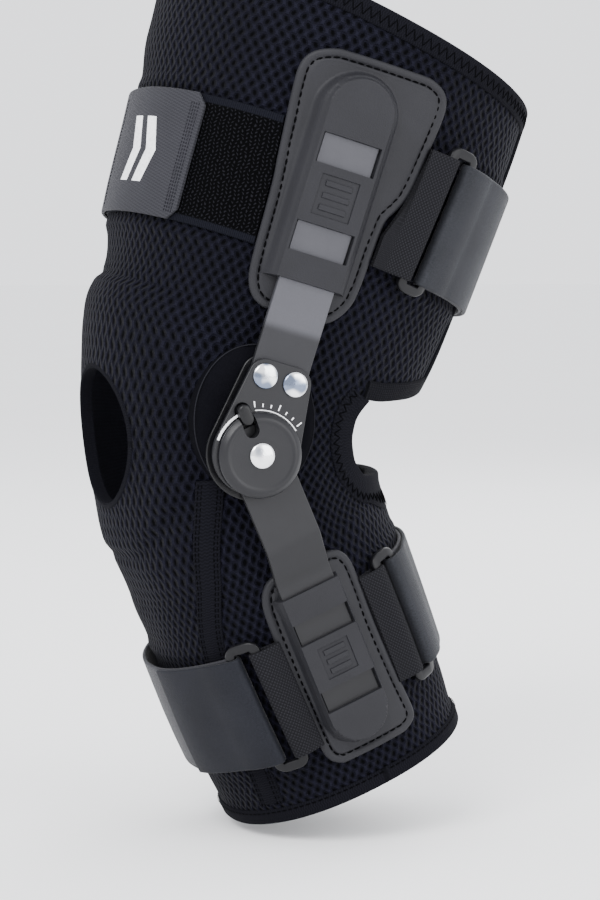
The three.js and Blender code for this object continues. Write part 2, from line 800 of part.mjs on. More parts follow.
function makeUpperBar() {
  const bar = makeBar(upperFrame, upperRows, 0, false);
  const places = [[rivetAlong, rivetAside], [rivetAlong, -rivetAside]];
  return drilled(bar, places, ...barLayer);
}

function makeLowerBar() {
  return drilled(makeBar(lowerFrame, lowerRows, 0, true), [[0, 0]], ...barLayer);
}

// The oval pad between the hinge and the sleeve
const pad = { back: 0.5, up: 17, halfDepth: 23, halfHeight: 28.5, rows: 10 };

function makePad() {
  const layer = (shrink, point) => (s, t) => {
    const angle = Math.PI * (t * pad.rows + 0.5) / (pad.rows + 1);
    const side = (2 * s - 1) * Math.sin(angle);
    const edge = Math.hypot(side, Math.cos(angle));
    const y = pad.back + shrink * pad.halfDepth * side;
    const z = pad.up - shrink * pad.halfHeight * Math.cos(angle);
    return point(y, z, edge);
  };
  const low = layer(1, (y, z) => besideLeg(y, z, gap));
  const high = layer(0.97, (y, z, edge) => {
    const foot = besideLeg(y, z, gap + 0.5);
    const drop = edge > 0.95 ? 2.5 : 0;
    return new THREE.Vector3(Math.max(foot.x + 1, padOut - drop), y, z);
  });
  return slab(6, pad.rows, low, high);
}

const bandStep = 7 * degree;

// A band round the leg through stations of rising turn, each with its lifts off the sleeve and, where
// its corners are cut, how much narrower it is
function makeBand(stations, low, high) {
  const rows = [];
  for (let i = 0; i < stations.length - 1; i += 1) {
    const steps = Math.max(1, Math.ceil((stations[i + 1].u - stations[i].u) / bandStep));
    for (let k = 0; k < steps; k += 1) rows.push(between(stations[i], stations[i + 1], k / steps));
  }
  rows.push(between(stations[stations.length - 1], stations[stations.length - 1], 0));
  const layer = (key) => (s, t) => {
    const row = rows[Math.round(s * (rows.length - 1))];
    return onSleeve(row.u, blend(low + row.trim, high - row.trim, t), row[key]);
  };
  return slab(rows.length - 1, 2, layer('under'), layer('over'));
}

function between(a, b, share) {
  return {
    u: blend(a.u, b.u, share),
    under: blend(a.under, b.under, share),
    over: blend(a.over, b.over, share),
    trim: blend(a.trim ?? 0, b.trim ?? 0, share),
  };
}

function sorted(stations) {
  return [...stations].sort((a, b) => a.u - b.u);
}

// A pocket's outline grown by the gap and standing through every layer, to cut the pieces round it
function pocketShadow(outline, frame, start, length, frontWay) {
  const grow = gap / barWidth;
  const grown = outline.map((row) => ({
    along: row.along + (row.along - 0.5) * 2 * gap / length,
    front: row.front + grow,
    back: row.back + grow,
  }));
  return makePocketSlab(frame, grown, start, length, frontWay, -2, 12);
}

function mirrored(body) {
  const { vertProperties, triVerts } = body.getMesh();
  const points = [];
  const faces = [];
  for (let i = 0; i < vertProperties.length; i += 3) {
    points.push(new THREE.Vector3(-vertProperties[i], vertProperties[i + 1], vertProperties[i + 2]));
  }
  for (let i = 0; i < triVerts.length; i += 3) faces.push(triVerts[i], triVerts[i + 2], triVerts[i + 1]);
  return solid(points, faces);
}

// Straps' buckles, and the lifts off the sleeve of what loops through them
const buckleHalf = 6.3;
const buckleBar = 2.8;
const buckleThick = 2.4;

// A strap set's places round the leg. way is 1 where the turn rises from the pocket to the buckle and
// -1 where it falls; base is the lift of its underside.
function strapPlaces(pocketTurn, buckleTurn, way, low, high, base) {
  const middle = (low + high) / 2;
  const step = (length) => way * turnFor(length, buckleTurn, middle);
  const barLow = base + strapThick + gap;
  return { pocketTurn, buckleTurn, way, low, high, base, step, barLow, barHigh: barLow + buckleThick };
}

function barChannel(places, from, to) {
  const { low, high, barLow, barHigh } = places;
  const ends = [from, to].map((u) => ({ u, under: barLow - gap, over: barHigh + gap }));
  return makeBand(sorted(ends), low - 2, high + 2);
}

// Webbing from under the pocket's edge, looped round the buckle's near bar
function makeWebbing(places, shadow) {
  const { pocketTurn, buckleTurn, low, high, base, step, barHigh } = places;
  const outer = buckleTurn - step(buckleHalf);
  const inner = buckleTurn - step(buckleHalf - buckleBar);
  const top = barHigh + gap + webThick;
  const band = makeBand(sorted([
    { u: pocketTurn, under: base, over: base + 2 * webThick },
    { u: outer - step(6), under: base, over: base + 2 * webThick },
    { u: outer, under: base, over: top },
    { u: inner + step(0.5 * gap), under: base, over: top },
    { u: inner + step(gap + webThick), under: base, over: top - webThick },
  ]), low, high);
  return band.subtract(barChannel(places, outer - step(gap), inner + step(gap))).subtract(shadow);
}

// A strap looped round the buckle's far bar, doubled up to where its end is sewn down
function makeStrap(places, doubledTo, end, cuts) {
  const { buckleTurn, low, high, base, step, barHigh } = places;
  const outer = buckleTurn + step(buckleHalf);
  const inner = buckleTurn + step(buckleHalf - buckleBar);
  const top = barHigh + gap + strapThick;
  const stations = [
    { u: inner - step(gap + strapThick), under: base, over: top - strapThick },
    { u: inner - step(0.5 * gap), under: base, over: top },
    { u: outer, under: base, over: top },
    { u: outer + step(12), under: base, over: base + 2 * strapThick },
    { u: doubledTo, under: base, over: base + 2 * strapThick },
    { u: doubledTo + step(0.5), under: base, over: base + strapThick },
    { u: end, under: base, over: base + strapThick },
  ];
  let strap = makeBand(sorted(stations), low, high)
    .subtract(barChannel(places, outer + step(gap), inner - step(gap)));
  for (const cut of cuts) strap = strap.subtract(cut);
  return strap;
}

// The buckle's outline towards each end: how far past the strap, and its width as a share
const BUCKLE_END = [
  { past: 4.6, width: 0.55 },
  { past: 3.8, width: 0.80 },
  { past: 2.4, width: 0.95 },
  { past: 0.8, width: 1.00 },
];

function makeBuckle(places) {
  const { buckleTurn, way, low, high, step, barLow, barHigh } = places;
  const rows = BUCKLE_END.map((row) => ({ v: low - row.past, width: row.width }));
  rows.push({ v: blend(low, high, 1 / 3), width: 1 }, { v: blend(low, high, 2 / 3), width: 1 });
  for (const row of [...BUCKLE_END].reverse()) rows.push({ v: high + row.past, width: row.width });
  const layer = (lift) => (s, t) => {
    const row = rows[Math.round(t * (rows.length - 1))];
    const half = buckleHalf * row.width * (2 * s - 1);
    return onSleeve(buckleTurn + way * step(half), row.v, lift);
  };
  const opening = [-1, 1].map((sign) => ({
    u: buckleTurn + sign * step(buckleHalf - buckleBar),
    under: barLow - 1,
    over: barHigh + 1,
  }));
  return slab(4, rows.length - 1, layer(barLow), layer(barHigh))
    .subtract(makeBand(sorted(opening), low - 0.8, high + 0.8));
}

const loopThick = 1.2;
const upperShadow = pocketShadow(UPPER_POCKET, upperFrame, upperPocketStart, upperPocketLength, 1);
const lowerShadow = pocketShadow(LOWER_POCKET, lowerFrame, lowerPocketStart, lowerPocketLength, -1);
const innerUpperShadow = mirrored(upperShadow);
const innerLowerShadow = mirrored(lowerShadow);

const thighRear = strapPlaces(8 * degree, 27.5 * degree, 1, rearStrapLow, rearStrapHigh, 2.5 * gap + 1);
const calfFront = strapPlaces(-12 * degree, -31 * degree, -1, calfStrapLow, calfStrapHigh, 2 * gap + 0.8);
const calfRear = strapPlaces(12 * degree, 35 * degree, 1, calfRearLow, calfRearHigh, gap);

function makeLoopPatch() {
  return makeBand([
    { u: -122 * degree, under: gap, over: gap + loopThick },
    { u: -14 * degree, under: gap, over: gap + loopThick },
  ], thighStrapLow, thighStrapHigh).subtract(upperShadow);
}

function makeThighFrontStrap() {
  const under = gap + loopThick + gap;
  const over = under + strapThick;
  return makeBand([
    { u: -166 * degree, under, over },
    { u: -54 * degree, under, over },
    { u: -51 * degree, under, over, trim: 4 },
  ], thighStrapLow, thighStrapHigh).subtract(innerUpperShadow);
}

const black = [0x15151b, 0.95, 0];
const blackTrim = [0x101013, 0.9, 0];
const blackRubber = [0x3c3d40, 0.75, 0];
const strapGrey = [0x383c46, 0.85, 0];
const paintedSteel = [0x45464a, 0.45, 0.6];
const blackPlastic = [0x2a2b2e, 0.45, 0];
const bucklePlastic = [0x505256, 0.4, 0];
const chrome = [0xd4d6da, 0.15, 1];
const velour = [0x0e0e12, 0.98, 0];

const orthosis = new THREE.Group();

function place(name, body, [color, roughness, metalness]) {
  const { vertProperties, triVerts } = body.getMesh();
  const geometry = new THREE.BufferGeometry();
  geometry.setAttribute('position', new THREE.BufferAttribute(new Float32Array(vertProperties), 3));
  geometry.setIndex(new THREE.BufferAttribute(new Uint32Array(triVerts), 1));
  geometry.computeVertexNormals();
  const material = new THREE.MeshStandardMaterial({ color, roughness, metalness });
  const mesh = new THREE.Mesh(geometry, material);
  mesh.name = name;
  orthosis.add(mesh);
}

function placeBothSides(name, body, look) {
  place(`outer_${name}`, body, look);
  place(`inner_${name}`, mirrored(body), look);
}

place('sleeve', makeSleeve(), black);
place('top_binding', makeTopBinding(), blackTrim);
place('bottom_binding', makeBottomBinding(), blackTrim);
place('kneecap_rim', makeKneecapRim(), blackTrim);
place('hollow_binding', makeHollowBinding(), blackTrim);
placeBothSides('flap_tape', makeFlapTape(), blackTrim);
placeBothSides('flap_edge', makeFlapEdge(), blackTrim);
placeBothSides('stay_channel', makeStayChannel(), blackTrim);

place('thigh_loop_patch', makeLoopPatch(), velour);
place('thigh_front_strap', makeThighFrontStrap(), strapGrey);
place('thigh_rear_webbing', makeWebbing(thighRear, upperShadow), strapGrey);
place('thigh_rear_buckle', makeBuckle(thighRear), bucklePlastic);
place('thigh_rear_strap', makeStrap(thighRear, 130 * degree, 172 * degree, [innerUpperShadow]), strapGrey);
place('calf_front_webbing', makeWebbing(calfFront, lowerShadow), strapGrey);
place('calf_front_buckle', makeBuckle(calfFront), bucklePlastic);
place('calf_front_strap', makeStrap(calfFront, -77 * degree, -168 * degree, [innerLowerShadow]), strapGrey);
place('calf_rear_webbing', makeWebbing(calfRear, lowerShadow), strapGrey);
place('calf_rear_buckle', makeBuckle(calfRear), bucklePlastic);
place('calf_rear_strap', makeStrap(calfRear, 125 * degree, 166 * degree, [innerLowerShadow]), strapGrey);

placeBothSides('hinge_pad', makePad(), velour);
placeBothSides('back_plate', makeBackPlate(), blackPlastic);
placeBothSides('upper_bar', makeUpperBar(), paintedSteel);
placeBothSides('lower_bar', makeLowerBar(), paintedSteel);
placeBothSides('head_plate', makeHeadPlate(), blackPlastic);
placeBothSides('hinge_cap', makeCap(), blackPlastic);
placeBothSides('lock_lever', makeLever(), blackPlastic);
placeBothSides('pivot_rivet', makeRivet(0, 0, capLayer[1], rivetRadius), chrome);
placeBothSides('front_rivet', makeRivet(rivetAlong, rivetAside, headPlate[1], rivetRadius), chrome);
placeBothSides('back_rivet', makeRivet(rivetAlong, -rivetAside, headPlate[1], rivetRadius), chrome);
placeBothSides('upper_pocket', makeUpperPocket(), blackRubber);
placeBothSides('lower_pocket', makeLowerPocket(), blackRubber);

export default orthosis;
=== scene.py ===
# A hinged knee orthosis in the pose of a bent knee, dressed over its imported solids.
# Lengths are in millimetres until a mesh is made. +Z is up, +X is the outer side of the leg and -Y is
# its front.
import json
import math

import bmesh
import bpy
import numpy as np
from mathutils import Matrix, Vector

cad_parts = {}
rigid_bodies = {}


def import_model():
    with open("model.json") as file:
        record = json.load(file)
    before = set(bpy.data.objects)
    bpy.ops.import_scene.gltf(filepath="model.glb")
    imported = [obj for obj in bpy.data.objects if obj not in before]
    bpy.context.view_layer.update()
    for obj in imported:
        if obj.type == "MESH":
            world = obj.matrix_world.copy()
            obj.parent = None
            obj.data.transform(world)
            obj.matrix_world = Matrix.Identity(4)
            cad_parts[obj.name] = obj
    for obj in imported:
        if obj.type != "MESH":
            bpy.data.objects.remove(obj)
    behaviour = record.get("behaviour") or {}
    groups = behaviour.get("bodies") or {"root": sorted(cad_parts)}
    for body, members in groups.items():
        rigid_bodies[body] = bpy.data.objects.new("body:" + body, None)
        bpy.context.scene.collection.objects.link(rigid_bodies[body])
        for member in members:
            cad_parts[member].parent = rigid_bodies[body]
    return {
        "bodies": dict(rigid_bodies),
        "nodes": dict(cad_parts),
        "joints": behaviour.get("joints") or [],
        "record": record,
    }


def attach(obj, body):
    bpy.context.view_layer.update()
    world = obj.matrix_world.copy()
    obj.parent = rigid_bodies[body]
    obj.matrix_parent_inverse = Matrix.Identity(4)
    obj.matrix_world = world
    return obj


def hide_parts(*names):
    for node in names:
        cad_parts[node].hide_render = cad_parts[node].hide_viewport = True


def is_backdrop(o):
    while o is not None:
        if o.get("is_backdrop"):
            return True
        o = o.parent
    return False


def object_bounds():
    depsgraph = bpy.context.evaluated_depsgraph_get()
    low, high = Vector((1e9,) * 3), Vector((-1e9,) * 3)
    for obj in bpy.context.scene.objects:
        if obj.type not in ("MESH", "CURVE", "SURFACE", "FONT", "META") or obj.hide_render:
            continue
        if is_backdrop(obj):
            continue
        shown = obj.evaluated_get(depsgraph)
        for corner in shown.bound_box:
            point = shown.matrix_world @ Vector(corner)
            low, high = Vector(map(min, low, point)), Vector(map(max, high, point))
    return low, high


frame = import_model()
solids_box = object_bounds()

# Driving dimensions
THIGH_LENGTH = 168
CALF_LENGTH = 133
KNEE_WIDTH = 112
KNEE_DEPTH = 118
SLEEVE_WALL = 3.5
BAR_WIDTH = 22
BAR_THICKNESS = 2.6
THIGH_STRAP_WIDTH = 48
CALF_STRAP_WIDTH = 44
UPPER_POCKET_LENGTH = 0.583 * THIGH_LENGTH
LOWER_POCKET_LENGTH = 0.586 * CALF_LENGTH
HINGE_RADIUS = 15.8
GAP = 0.4
STRAP_THICK = 1.5
WEB_THICK = 1.2

# Angles of the bent knee
THIGH_LEAN = math.radians(19.5)
CALF_LEAN = math.radians(24)
UPPER_BAR_LEAN = math.radians(16.3)
LOWER_BAR_LEAN = math.radians(23.2)
BEND = 0.3 * KNEE_DEPTH
TURN = THIGH_LEAN + CALF_LEAN
BEND_RADIUS = 2 * BEND / TURN

# Sections of the sleeve, from the lower hem to the upper one: run as a share of the calf's or the
# thigh's length, half of the knee's half width, front and back of its half depth
SECTIONS = [
    # run, half, front, back
    (-1.10, 0.88, 0.84, 0.79),
    (-0.95, 0.91, 0.86, 0.82),
    (-0.70, 0.96, 0.88, 0.87),
    (-0.45, 0.98, 0.86, 0.91),
    (-0.22, 0.97, 0.85, 0.94),
    (0.00, 1.00, 0.92, 1.00),
    (0.15, 1.04, 1.01, 1.08),
    (0.26, 1.10, 1.05, 1.15),
    (0.35, 1.14, 1.06, 1.19),
    (0.45, 1.17, 1.13, 1.21),
    (0.75, 1.27, 1.21, 1.24),
    (0.88, 1.30, 1.28, 1.25),
    (1.15, 1.34, 1.32, 1.24),
]
SQUARENESS = 2.2
SECTION_RUNS = np.array([row[0] * (CALF_LENGTH if row[0] < 0 else THIGH_LENGTH) for row in SECTIONS])
HALF, FRONT, BACK = (np.array([row[k] for row in SECTIONS]) for k in (1, 2, 3))


def curve_through(places, values, at):
    """A smooth curve through a table's rows, read at any places."""
    places, values, at = np.asarray(places, float), np.asarray(values, float), np.asarray(at, float)
    last = len(places) - 1
    i = np.clip(np.searchsorted(places[1:], at), 0, last - 1)
    rows = np.arange(last + 1)
    before, after = np.maximum(rows - 1, 0), np.minimum(rows + 1, last)
    slopes = (values[after] - values[before]) / (places[after] - places[before])
    run = places[i + 1] - places[i]
    t = (at - places[i]) / run
    ease = t * t * (3 - 2 * t)
    return ((1 - ease) * values[i] + ease * values[i + 1]
            + t * (1 - t) ** 2 * run * slopes[i] - t * t * (1 - t) * run * slopes[i + 1])


def smooth_step(low, high, at):
    t = np.clip((np.asarray(at, float) - low) / (high - low), 0, 1)
    return t * t * (3 - 2 * t)


# How the leg runs: a straight calf, a bend at the knee and a straight thigh
def lean_at(v):
    return (THIGH_LEAN - CALF_LEAN) / 2 + np.clip(v / BEND, -1, 1) * TURN / 2


def bare_axis(v):
    inside = np.clip(v, -BEND, BEND)
    start, here = lean_at(0.0), lean_at(inside)
    back = BEND_RADIUS * (np.cos(start) - np.cos(here)) + (v - inside) * np.sin(here)
    up = BEND_RADIUS * (np.sin(here) - np.sin(start)) + (v - inside) * np.cos(here)
    return back, up


BEND_END = bare_axis(BEND)
TANGENT_RUN = BEND_RADIUS * math.tan(TURN / 2)
MEETING = (BEND_END[0] - TANGENT_RUN * math.sin(THIGH_LEAN),
           BEND_END[1] - TANGENT_RUN * math.cos(THIGH_LEAN))


def axis_at(v):
    back, up = bare_axis(v)
    return back - MEETING[0], up - MEETING[1]


def surface(u, v):
    """Points of the sleeve's outside: u is the angle round the leg, 0 at its outer side and a quarter
    turn at its back, v the run along the leg, up from the knee."""
    u, v = np.broadcast_arrays(np.asarray(u, float), np.asarray(v, float))
    half = curve_through(SECTION_RUNS, HALF, v) * KNEE_WIDTH / 2
    front, back = (curve_through(SECTION_RUNS, column, v) for column in (FRONT, BACK))
    depth = np.where(np.sin(u) > 0, back, front) * KNEE_DEPTH / 2
    radius = (np.abs(np.cos(u) / half) ** SQUARENESS
              + np.abs(np.sin(u) / depth) ** SQUARENESS) ** (-1 / SQUARENESS)
    axis_back, axis_up = axis_at(v)
    lean = lean_at(v)
    behind = radius * np.sin(u)
    return np.stack([radius * np.cos(u), axis_back + behind * np.cos(lean),
                     axis_up - behind * np.sin(lean)], -1)


def unit(vectors):
    return vectors / np.linalg.norm(vectors, axis=-1, keepdims=True)


def outward(u, v):
    round_leg = surface(u + 0.01, v) - surface(u - 0.01, v)
    along_leg = surface(u, v + 0.5) - surface(u, v - 0.5)
    return unit(np.cross(round_leg, along_leg))


def on_sleeve(u, v, lift):
    return surface(u, v) + outward(u, v) * np.asarray(lift, float)[..., None]


def reach_round(u, v):
    """The length on the sleeve that a radian round the leg takes."""
    return np.linalg.norm(surface(u + 0.01, v) - surface(u - 0.01, v), axis=-1) / 0.02


def leg_place(y, z):
    """The angle and run of a place on the sleeve's outer side."""
    y, z = np.broadcast_arrays(np.asarray(y, float), np.asarray(z, float))
    v = z.copy()
    for _ in range(12):
        axis_back, axis_up = axis_at(v)
        lean = lean_at(v)
        behind = (y - axis_back) * np.cos(lean) - (z - axis_up) * np.sin(lean)
        v = v + (y - axis_back) * np.sin(lean) + (z - axis_up) * np.cos(lean)
    half = curve_through(SECTION_RUNS, HALF, v) * KNEE_WIDTH / 2
    front, back = (curve_through(SECTION_RUNS, column, v) for column in (FRONT, BACK))
    share = np.minimum(0.999, np.abs(behind / (np.where(behind > 0, back, front) * KNEE_DEPTH / 2)))
    return np.arctan2(behind, half * (1 - share ** SQUARENESS) ** (1 / SQUARENESS)), v


def beside_leg(y, z, lift):
    """Points off the sleeve's outer side, from their places to the back and up."""
    return on_sleeve(*leg_place(y, z), lift)


# Frames at the hinge's pivot: along a bar away from it, to its side and out of the leg's side
PIVOT = np.array([0, -0.01 * KNEE_DEPTH, 0.04 * KNEE_DEPTH])


class BarFrame:
    def __init__(self, lean, way):
        self.along = np.array([0, math.sin(lean), way * math.cos(lean)])
        self.out = np.array([1.0, 0, 0])
        self.side = np.cross(self.out, self.along)

    def turned(self, angle):
        copy = BarFrame(0, 1)
        copy.along = self.along * math.cos(angle) + self.side * math.sin(angle)
        copy.side = self.side * math.cos(angle) - self.along * math.sin(angle)
        return copy

    def at(self, along, side, out):
        along, side, out = np.broadcast_arrays(*(np.asarray(x, float) for x in (along, side, out)))
        return (PIVOT + along[..., None] * self.along + side[..., None] * self.side
                + out[..., None] * self.out)

    def on_sleeve(self, along, side, lift):
        place = self.at(along, side, 0)
        return beside_leg(place[..., 1], place[..., 2], lift)


UPPER = BarFrame(UPPER_BAR_LEAN, 1)
LOWER = BarFrame(LOWER_BAR_LEAN, -1)

# Layers of the hinge, outward from the sleeve
PAD_OUT = KNEE_WIDTH / 2 + 6.5
BACK_PLATE = (PAD_OUT + GAP, PAD_OUT + GAP + 1.6)
BAR_LAYER = (BACK_PLATE[1] + GAP, BACK_PLATE[1] + GAP + BAR_THICKNESS)
HEAD_PLATE = (BAR_LAYER[1] + GAP, BAR_LAYER[1] + GAP + 2)
CAP_LAYER = (HEAD_PLATE[1] + GAP, HEAD_PLATE[1] + GAP + 3)
RIVET_ALONG = 1.8 * HINGE_RADIUS
RIVET_ASIDE = 0.27 * BAR_WIDTH
RIVET_RADIUS = 0.3 * HINGE_RADIUS
HEAD_CORNER = 0.4 * HINGE_RADIUS

# Where the straps run along the leg
THIGH_STRAP_LOW = 0.447 * THIGH_LENGTH
THIGH_STRAP_HIGH = THIGH_STRAP_LOW + THIGH_STRAP_WIDTH
REAR_STRAP_LOW = 0.49 * THIGH_LENGTH
REAR_STRAP_HIGH = REAR_STRAP_LOW + THIGH_STRAP_WIDTH
CALF_STRAP_HIGH = -0.475 * CALF_LENGTH
CALF_STRAP_LOW = CALF_STRAP_HIGH - CALF_STRAP_WIDTH
CALF_REAR_HIGH = -0.42 * CALF_LENGTH
CALF_REAR_LOW = CALF_REAR_HIGH - CALF_STRAP_WIDTH


# Materials
class Signal:
    """An output of a node that takes part in arithmetic: each operation adds its Math node."""

    def __init__(self, finish, socket):
        self.finish = finish
        self.socket = socket

    def math(self, operation, *others):
        values = dict(enumerate((self, *others)))
        return self.finish.node("ShaderNodeMath", {"operation": operation}, values)

    def __add__(self, other):
        return self.math("ADD", other)

    def __sub__(self, other):
        return self.math("SUBTRACT", other)

    def __mul__(self, other):
        return self.math("MULTIPLY", other)

    def __truediv__(self, other):
        return self.math("DIVIDE", other)

    def __rsub__(self, other):
        return self.math("MULTIPLY", -1).math("ADD", other)

    __radd__ = __add__
    __rmul__ = __mul__

    def fraction(self):
        return self.math("FRACT")

    def wave(self):
        return self.math("SINE")

    def least(self, other):
        return self.math("MINIMUM", other)

    def size(self):
        return self.math("ABSOLUTE")

    def step(self, low, high):
        """0 below low, 1 above high and smooth between them."""
        settings = {"interpolation_type": "SMOOTHSTEP", "clamp": True}
        return self.finish.node("ShaderNodeMapRange", settings, {0: self, 1: low, 2: high, 3: 0, 4: 1})


class Finish:
    """A material: node() adds a node, and wear() links what changes over the surface."""

    def __init__(self, name, **fixed):
        self.material = bpy.data.materials.new(name)
        self.material.use_nodes = True
        self.tree = self.material.node_tree
        self.shader = self.tree.nodes["Principled BSDF"]
        for socket, value in fixed.items():
            self.shader.inputs[socket.replace("_", " ")].default_value = value

    def node(self, kind, settings=None, inputs=None, output=0):
        node = self.tree.nodes.new(kind)
        for key, value in (settings or {}).items():
            setattr(node, key, value)
        for key, value in (inputs or {}).items():
            self.plug(node.inputs[key], value)
        return Signal(self, node.outputs[output])

    def plug(self, socket, value):
        if isinstance(value, Signal):
            self.tree.links.new(value.socket, socket)
        else:
            socket.default_value = value

    def weave(self):
        """The place on the cloth or the bar in millimetres, whole and as its two parts."""
        place = self.node("ShaderNodeAttribute", {"attribute_name": "weave"}, output=1)
        return place, *(self.node("ShaderNodeSeparateXYZ", None, {0: place}, output=k) for k in (0, 1))

    def place(self):
        """The place on the object, in metres."""
        return self.node("ShaderNodeTexCoord", output=3)

    def noise(self, place, scale, detail=2.0, rough=0.5):
        inputs = {"Vector": place, "Scale": scale, "Detail": detail, "Roughness": rough}
        return self.node("ShaderNodeTexNoise", None, inputs)

    def blend(self, low, high, share):
        """A colour between two, each a colour or another blend."""
        low, high = (c if isinstance(c, Signal) else (*c, 1.0) for c in (low, high))
        settings = {"data_type": "RGBA"}
        return self.node("ShaderNodeMix", settings, {0: share, 6: low, 7: high}, output=2)

    def wear(self, color, roughness, height=None, depth=1.0):
        """Links the colour and the roughness, and a bump as deep as depth in millimetres."""
        self.plug(self.shader.inputs["Base Color"], color)
        self.plug(self.shader.inputs["Roughness"], roughness)
        if height is not None:
            inputs = {"Height": height, "Distance": depth / 1000, "Strength": 1.0}
            self.plug(self.shader.inputs["Normal"], self.node("ShaderNodeBump", None, inputs))
        return self.material


# A hole of the mesh and the yarn round it: how wide and how tall
CELL_WIDE, CELL_TALL = 3.9, 5.8


def spacer_mesh():
    """Knitted mesh: staggered narrow holes between rounded yarns that wander up the leg, with painted shade
    in the holes and a painted highlight along the yarns' crests.
    """
    finish = Finish("spacer_mesh", Specular_IOR_Level=0.05, Sheen_Weight=0.012, Sheen_Roughness=0.25)
    place, across, along = finish.weave()
    drift = finish.noise(place, 0.09, 2.0)
    across = across + (drift - 0.5) * 1.6 + (along * (math.pi * 2 / CELL_TALL)).wave() * 0.28
    along = along + (drift - 0.5) * 1.2
    holes = None
    for shift in (0.0, 0.5):
        aside = ((across / CELL_WIDE + shift).fraction() - 0.5) * (CELL_WIDE / 0.70)
        above = ((along / CELL_TALL + shift).fraction() - 0.5) * (CELL_TALL / 1.05)
        reach = aside * aside + above * above
        holes = reach if holes is None else holes.least(reach)
    rib = holes.step(0.1, 1.5)
    crest = holes.step(0.8, 5.0)
    yarn = ((along * 7.5 + (across * 2.9).wave() * 0.8).wave() * 0.5 + 0.5) * rib
    fuzz = finish.noise(place, 2.2, 3.0, 0.7)
    patches = finish.noise(place, 0.02, 2.0)
    # Painted shade and highlight: the holes are near black and the yarns' crests are lighter.
    shade = (rib * 0.38 + crest * 0.45 + yarn * 0.14) * (0.62 + patches * 0.76)
    base = finish.blend((0.0003, 0.0003, 0.0006), (0.0060, 0.0060, 0.0115), shade)
    color = finish.blend(base, (0.018, 0.018, 0.030), fuzz.step(0.60, 0.85) * crest * 0.5)
    height = rib * 0.4 + crest * 0.6 + yarn * 0.07 + fuzz * 0.12
    return finish.wear(color, 0.95 - rib * 0.17, height, 1.5)


def fine_knit(name, dark, light):
    """Smooth knit: fine courses with a little fuzz."""
    finish = Finish(name, Specular_IOR_Level=0.05)
    place, across, along = finish.weave()
    courses = (along * 6.3 + (across * 3.1).wave() * 1.2).wave() * 0.5 + 0.5
    fuzz = finish.noise(place, 3.2, 3.0, 0.7)
    color = finish.blend(dark, light, courses * 0.5 + fuzz * 0.6)
    return finish.wear(color, 0.85 + fuzz * 0.1, courses * 0.10 + fuzz * 0.16, 1.0)


def ribbed_tape():
    """Elastic tape: ribs along it, crossed by fine courses, with a little fuzz."""
    finish = Finish("ribbed_tape", Specular_IOR_Level=0.06)
    place, across, along = finish.weave()
    ribs = (across * 7.0).wave() * 0.5 + 0.5
    courses = (along * 5.2).wave() * 0.5 + 0.5
    fuzz = finish.noise(place, 2.2, 3.0, 0.7)
    share = ribs * courses * 0.6 + fuzz * 0.5
    color = finish.blend((0.0010, 0.0010, 0.0015), (0.0075, 0.0075, 0.0105), share)
    return finish.wear(color, 0.8 + fuzz * 0.15, ribs * 0.12 + courses * 0.12 + fuzz * 0.22, 1.0)


def loop_pile():
    """Loop pile: small curls in wavy chains, with a smooth selvage along both edges."""
    finish = Finish("loop_pile", Specular_IOR_Level=0.04)
    place, across, along = finish.weave()
    bend = finish.noise(place, 0.35, 2.0)
    column = across + (along * 0.9).wave() * 0.3 + bend * 1.6
    chains = (column * 3.9).wave() * 0.5 + 0.5
    curls = (along * 4.3 + (column * 1.95).wave() * 2.2 + bend * 6).wave() * 0.5 + 0.5
    middle = (THIGH_STRAP_LOW + THIGH_STRAP_HIGH) / 2
    pile = 1 - (along - middle).size().step(THIGH_STRAP_WIDTH / 2 - 3.2, THIGH_STRAP_WIDTH / 2 - 2.6)
    threads = (across * 8.0).wave() * 0.5 + 0.5
    tufts = (chains * curls).step(0.15, 0.7)
    furry = finish.blend((0.0003, 0.0003, 0.0005), (0.0070, 0.0070, 0.0092), tufts)
    flat = finish.blend((0.003, 0.003, 0.005), (0.008, 0.009, 0.013), threads * 0.6)
    height = pile * tufts * 0.9 + (1 - pile) * threads * 0.05
    return finish.wear(finish.blend(flat, furry, pile), 0.9 - tufts * 0.2, height, 1.0)


def smooth_strap(name, light):
    """Laminated strap: a smooth blue-grey face with a leathery grain, and a paler colour on the layer
    that lies under, from the far pocket to the fold in the buckle: a painted sheen, for the light
    that this layer catches where it turns away round the leg."""
    finish = Finish(name, Specular_IOR_Level=0.12, Sheen_Weight=0.10, Sheen_Roughness=0.22)
    place, across, along = finish.weave()
    grain = finish.noise(place, 1.5, 4.0, 0.8)
    threads = ((across + along * 0.3) * 9.0).wave() * (along * 8.0).wave()
    patches = finish.noise(place, 0.045, 2.0)
    face = finish.blend((0.0010, 0.0012, 0.0020), light, grain.step(0.25, 0.75) * 0.6 + patches * 0.5)
    # Painted sheen: the layer that lies under is paler, for the light that it catches where it turns away
    # round the leg.
    lining = finish.blend((0.018, 0.018, 0.021), (0.034, 0.034, 0.039), grain)
    color = finish.blend(lining, face, across.step(-1.0, 1.0))
    return finish.wear(color, 0.58 + grain * 0.2, grain * 0.16 + threads * 0.02, 1.0)


def tab_grain():
    """The tab's face: a fine pebble grain in slanting rows."""
    finish = Finish("tab_grain", Specular_IOR_Level=0.12, Sheen_Weight=0.06, Sheen_Roughness=0.22)
    place, across, along = finish.weave()
    rows = ((along + across * 0.25) * 5.4 + (across * 4.2).wave() * 0.9).wave() * 0.5 + 0.5
    grain = finish.noise(place, 1.9, 4.0, 0.7)
    patches = finish.noise(place, 0.05, 2.0)
    share = rows * 0.4 + grain * 0.5 + patches * 0.3
    color = finish.blend((0.008, 0.008, 0.010), (0.032, 0.032, 0.038), share)
    return finish.wear(color, 0.6 + grain * 0.2, rows * 0.08 + grain * 0.16, 1.0)


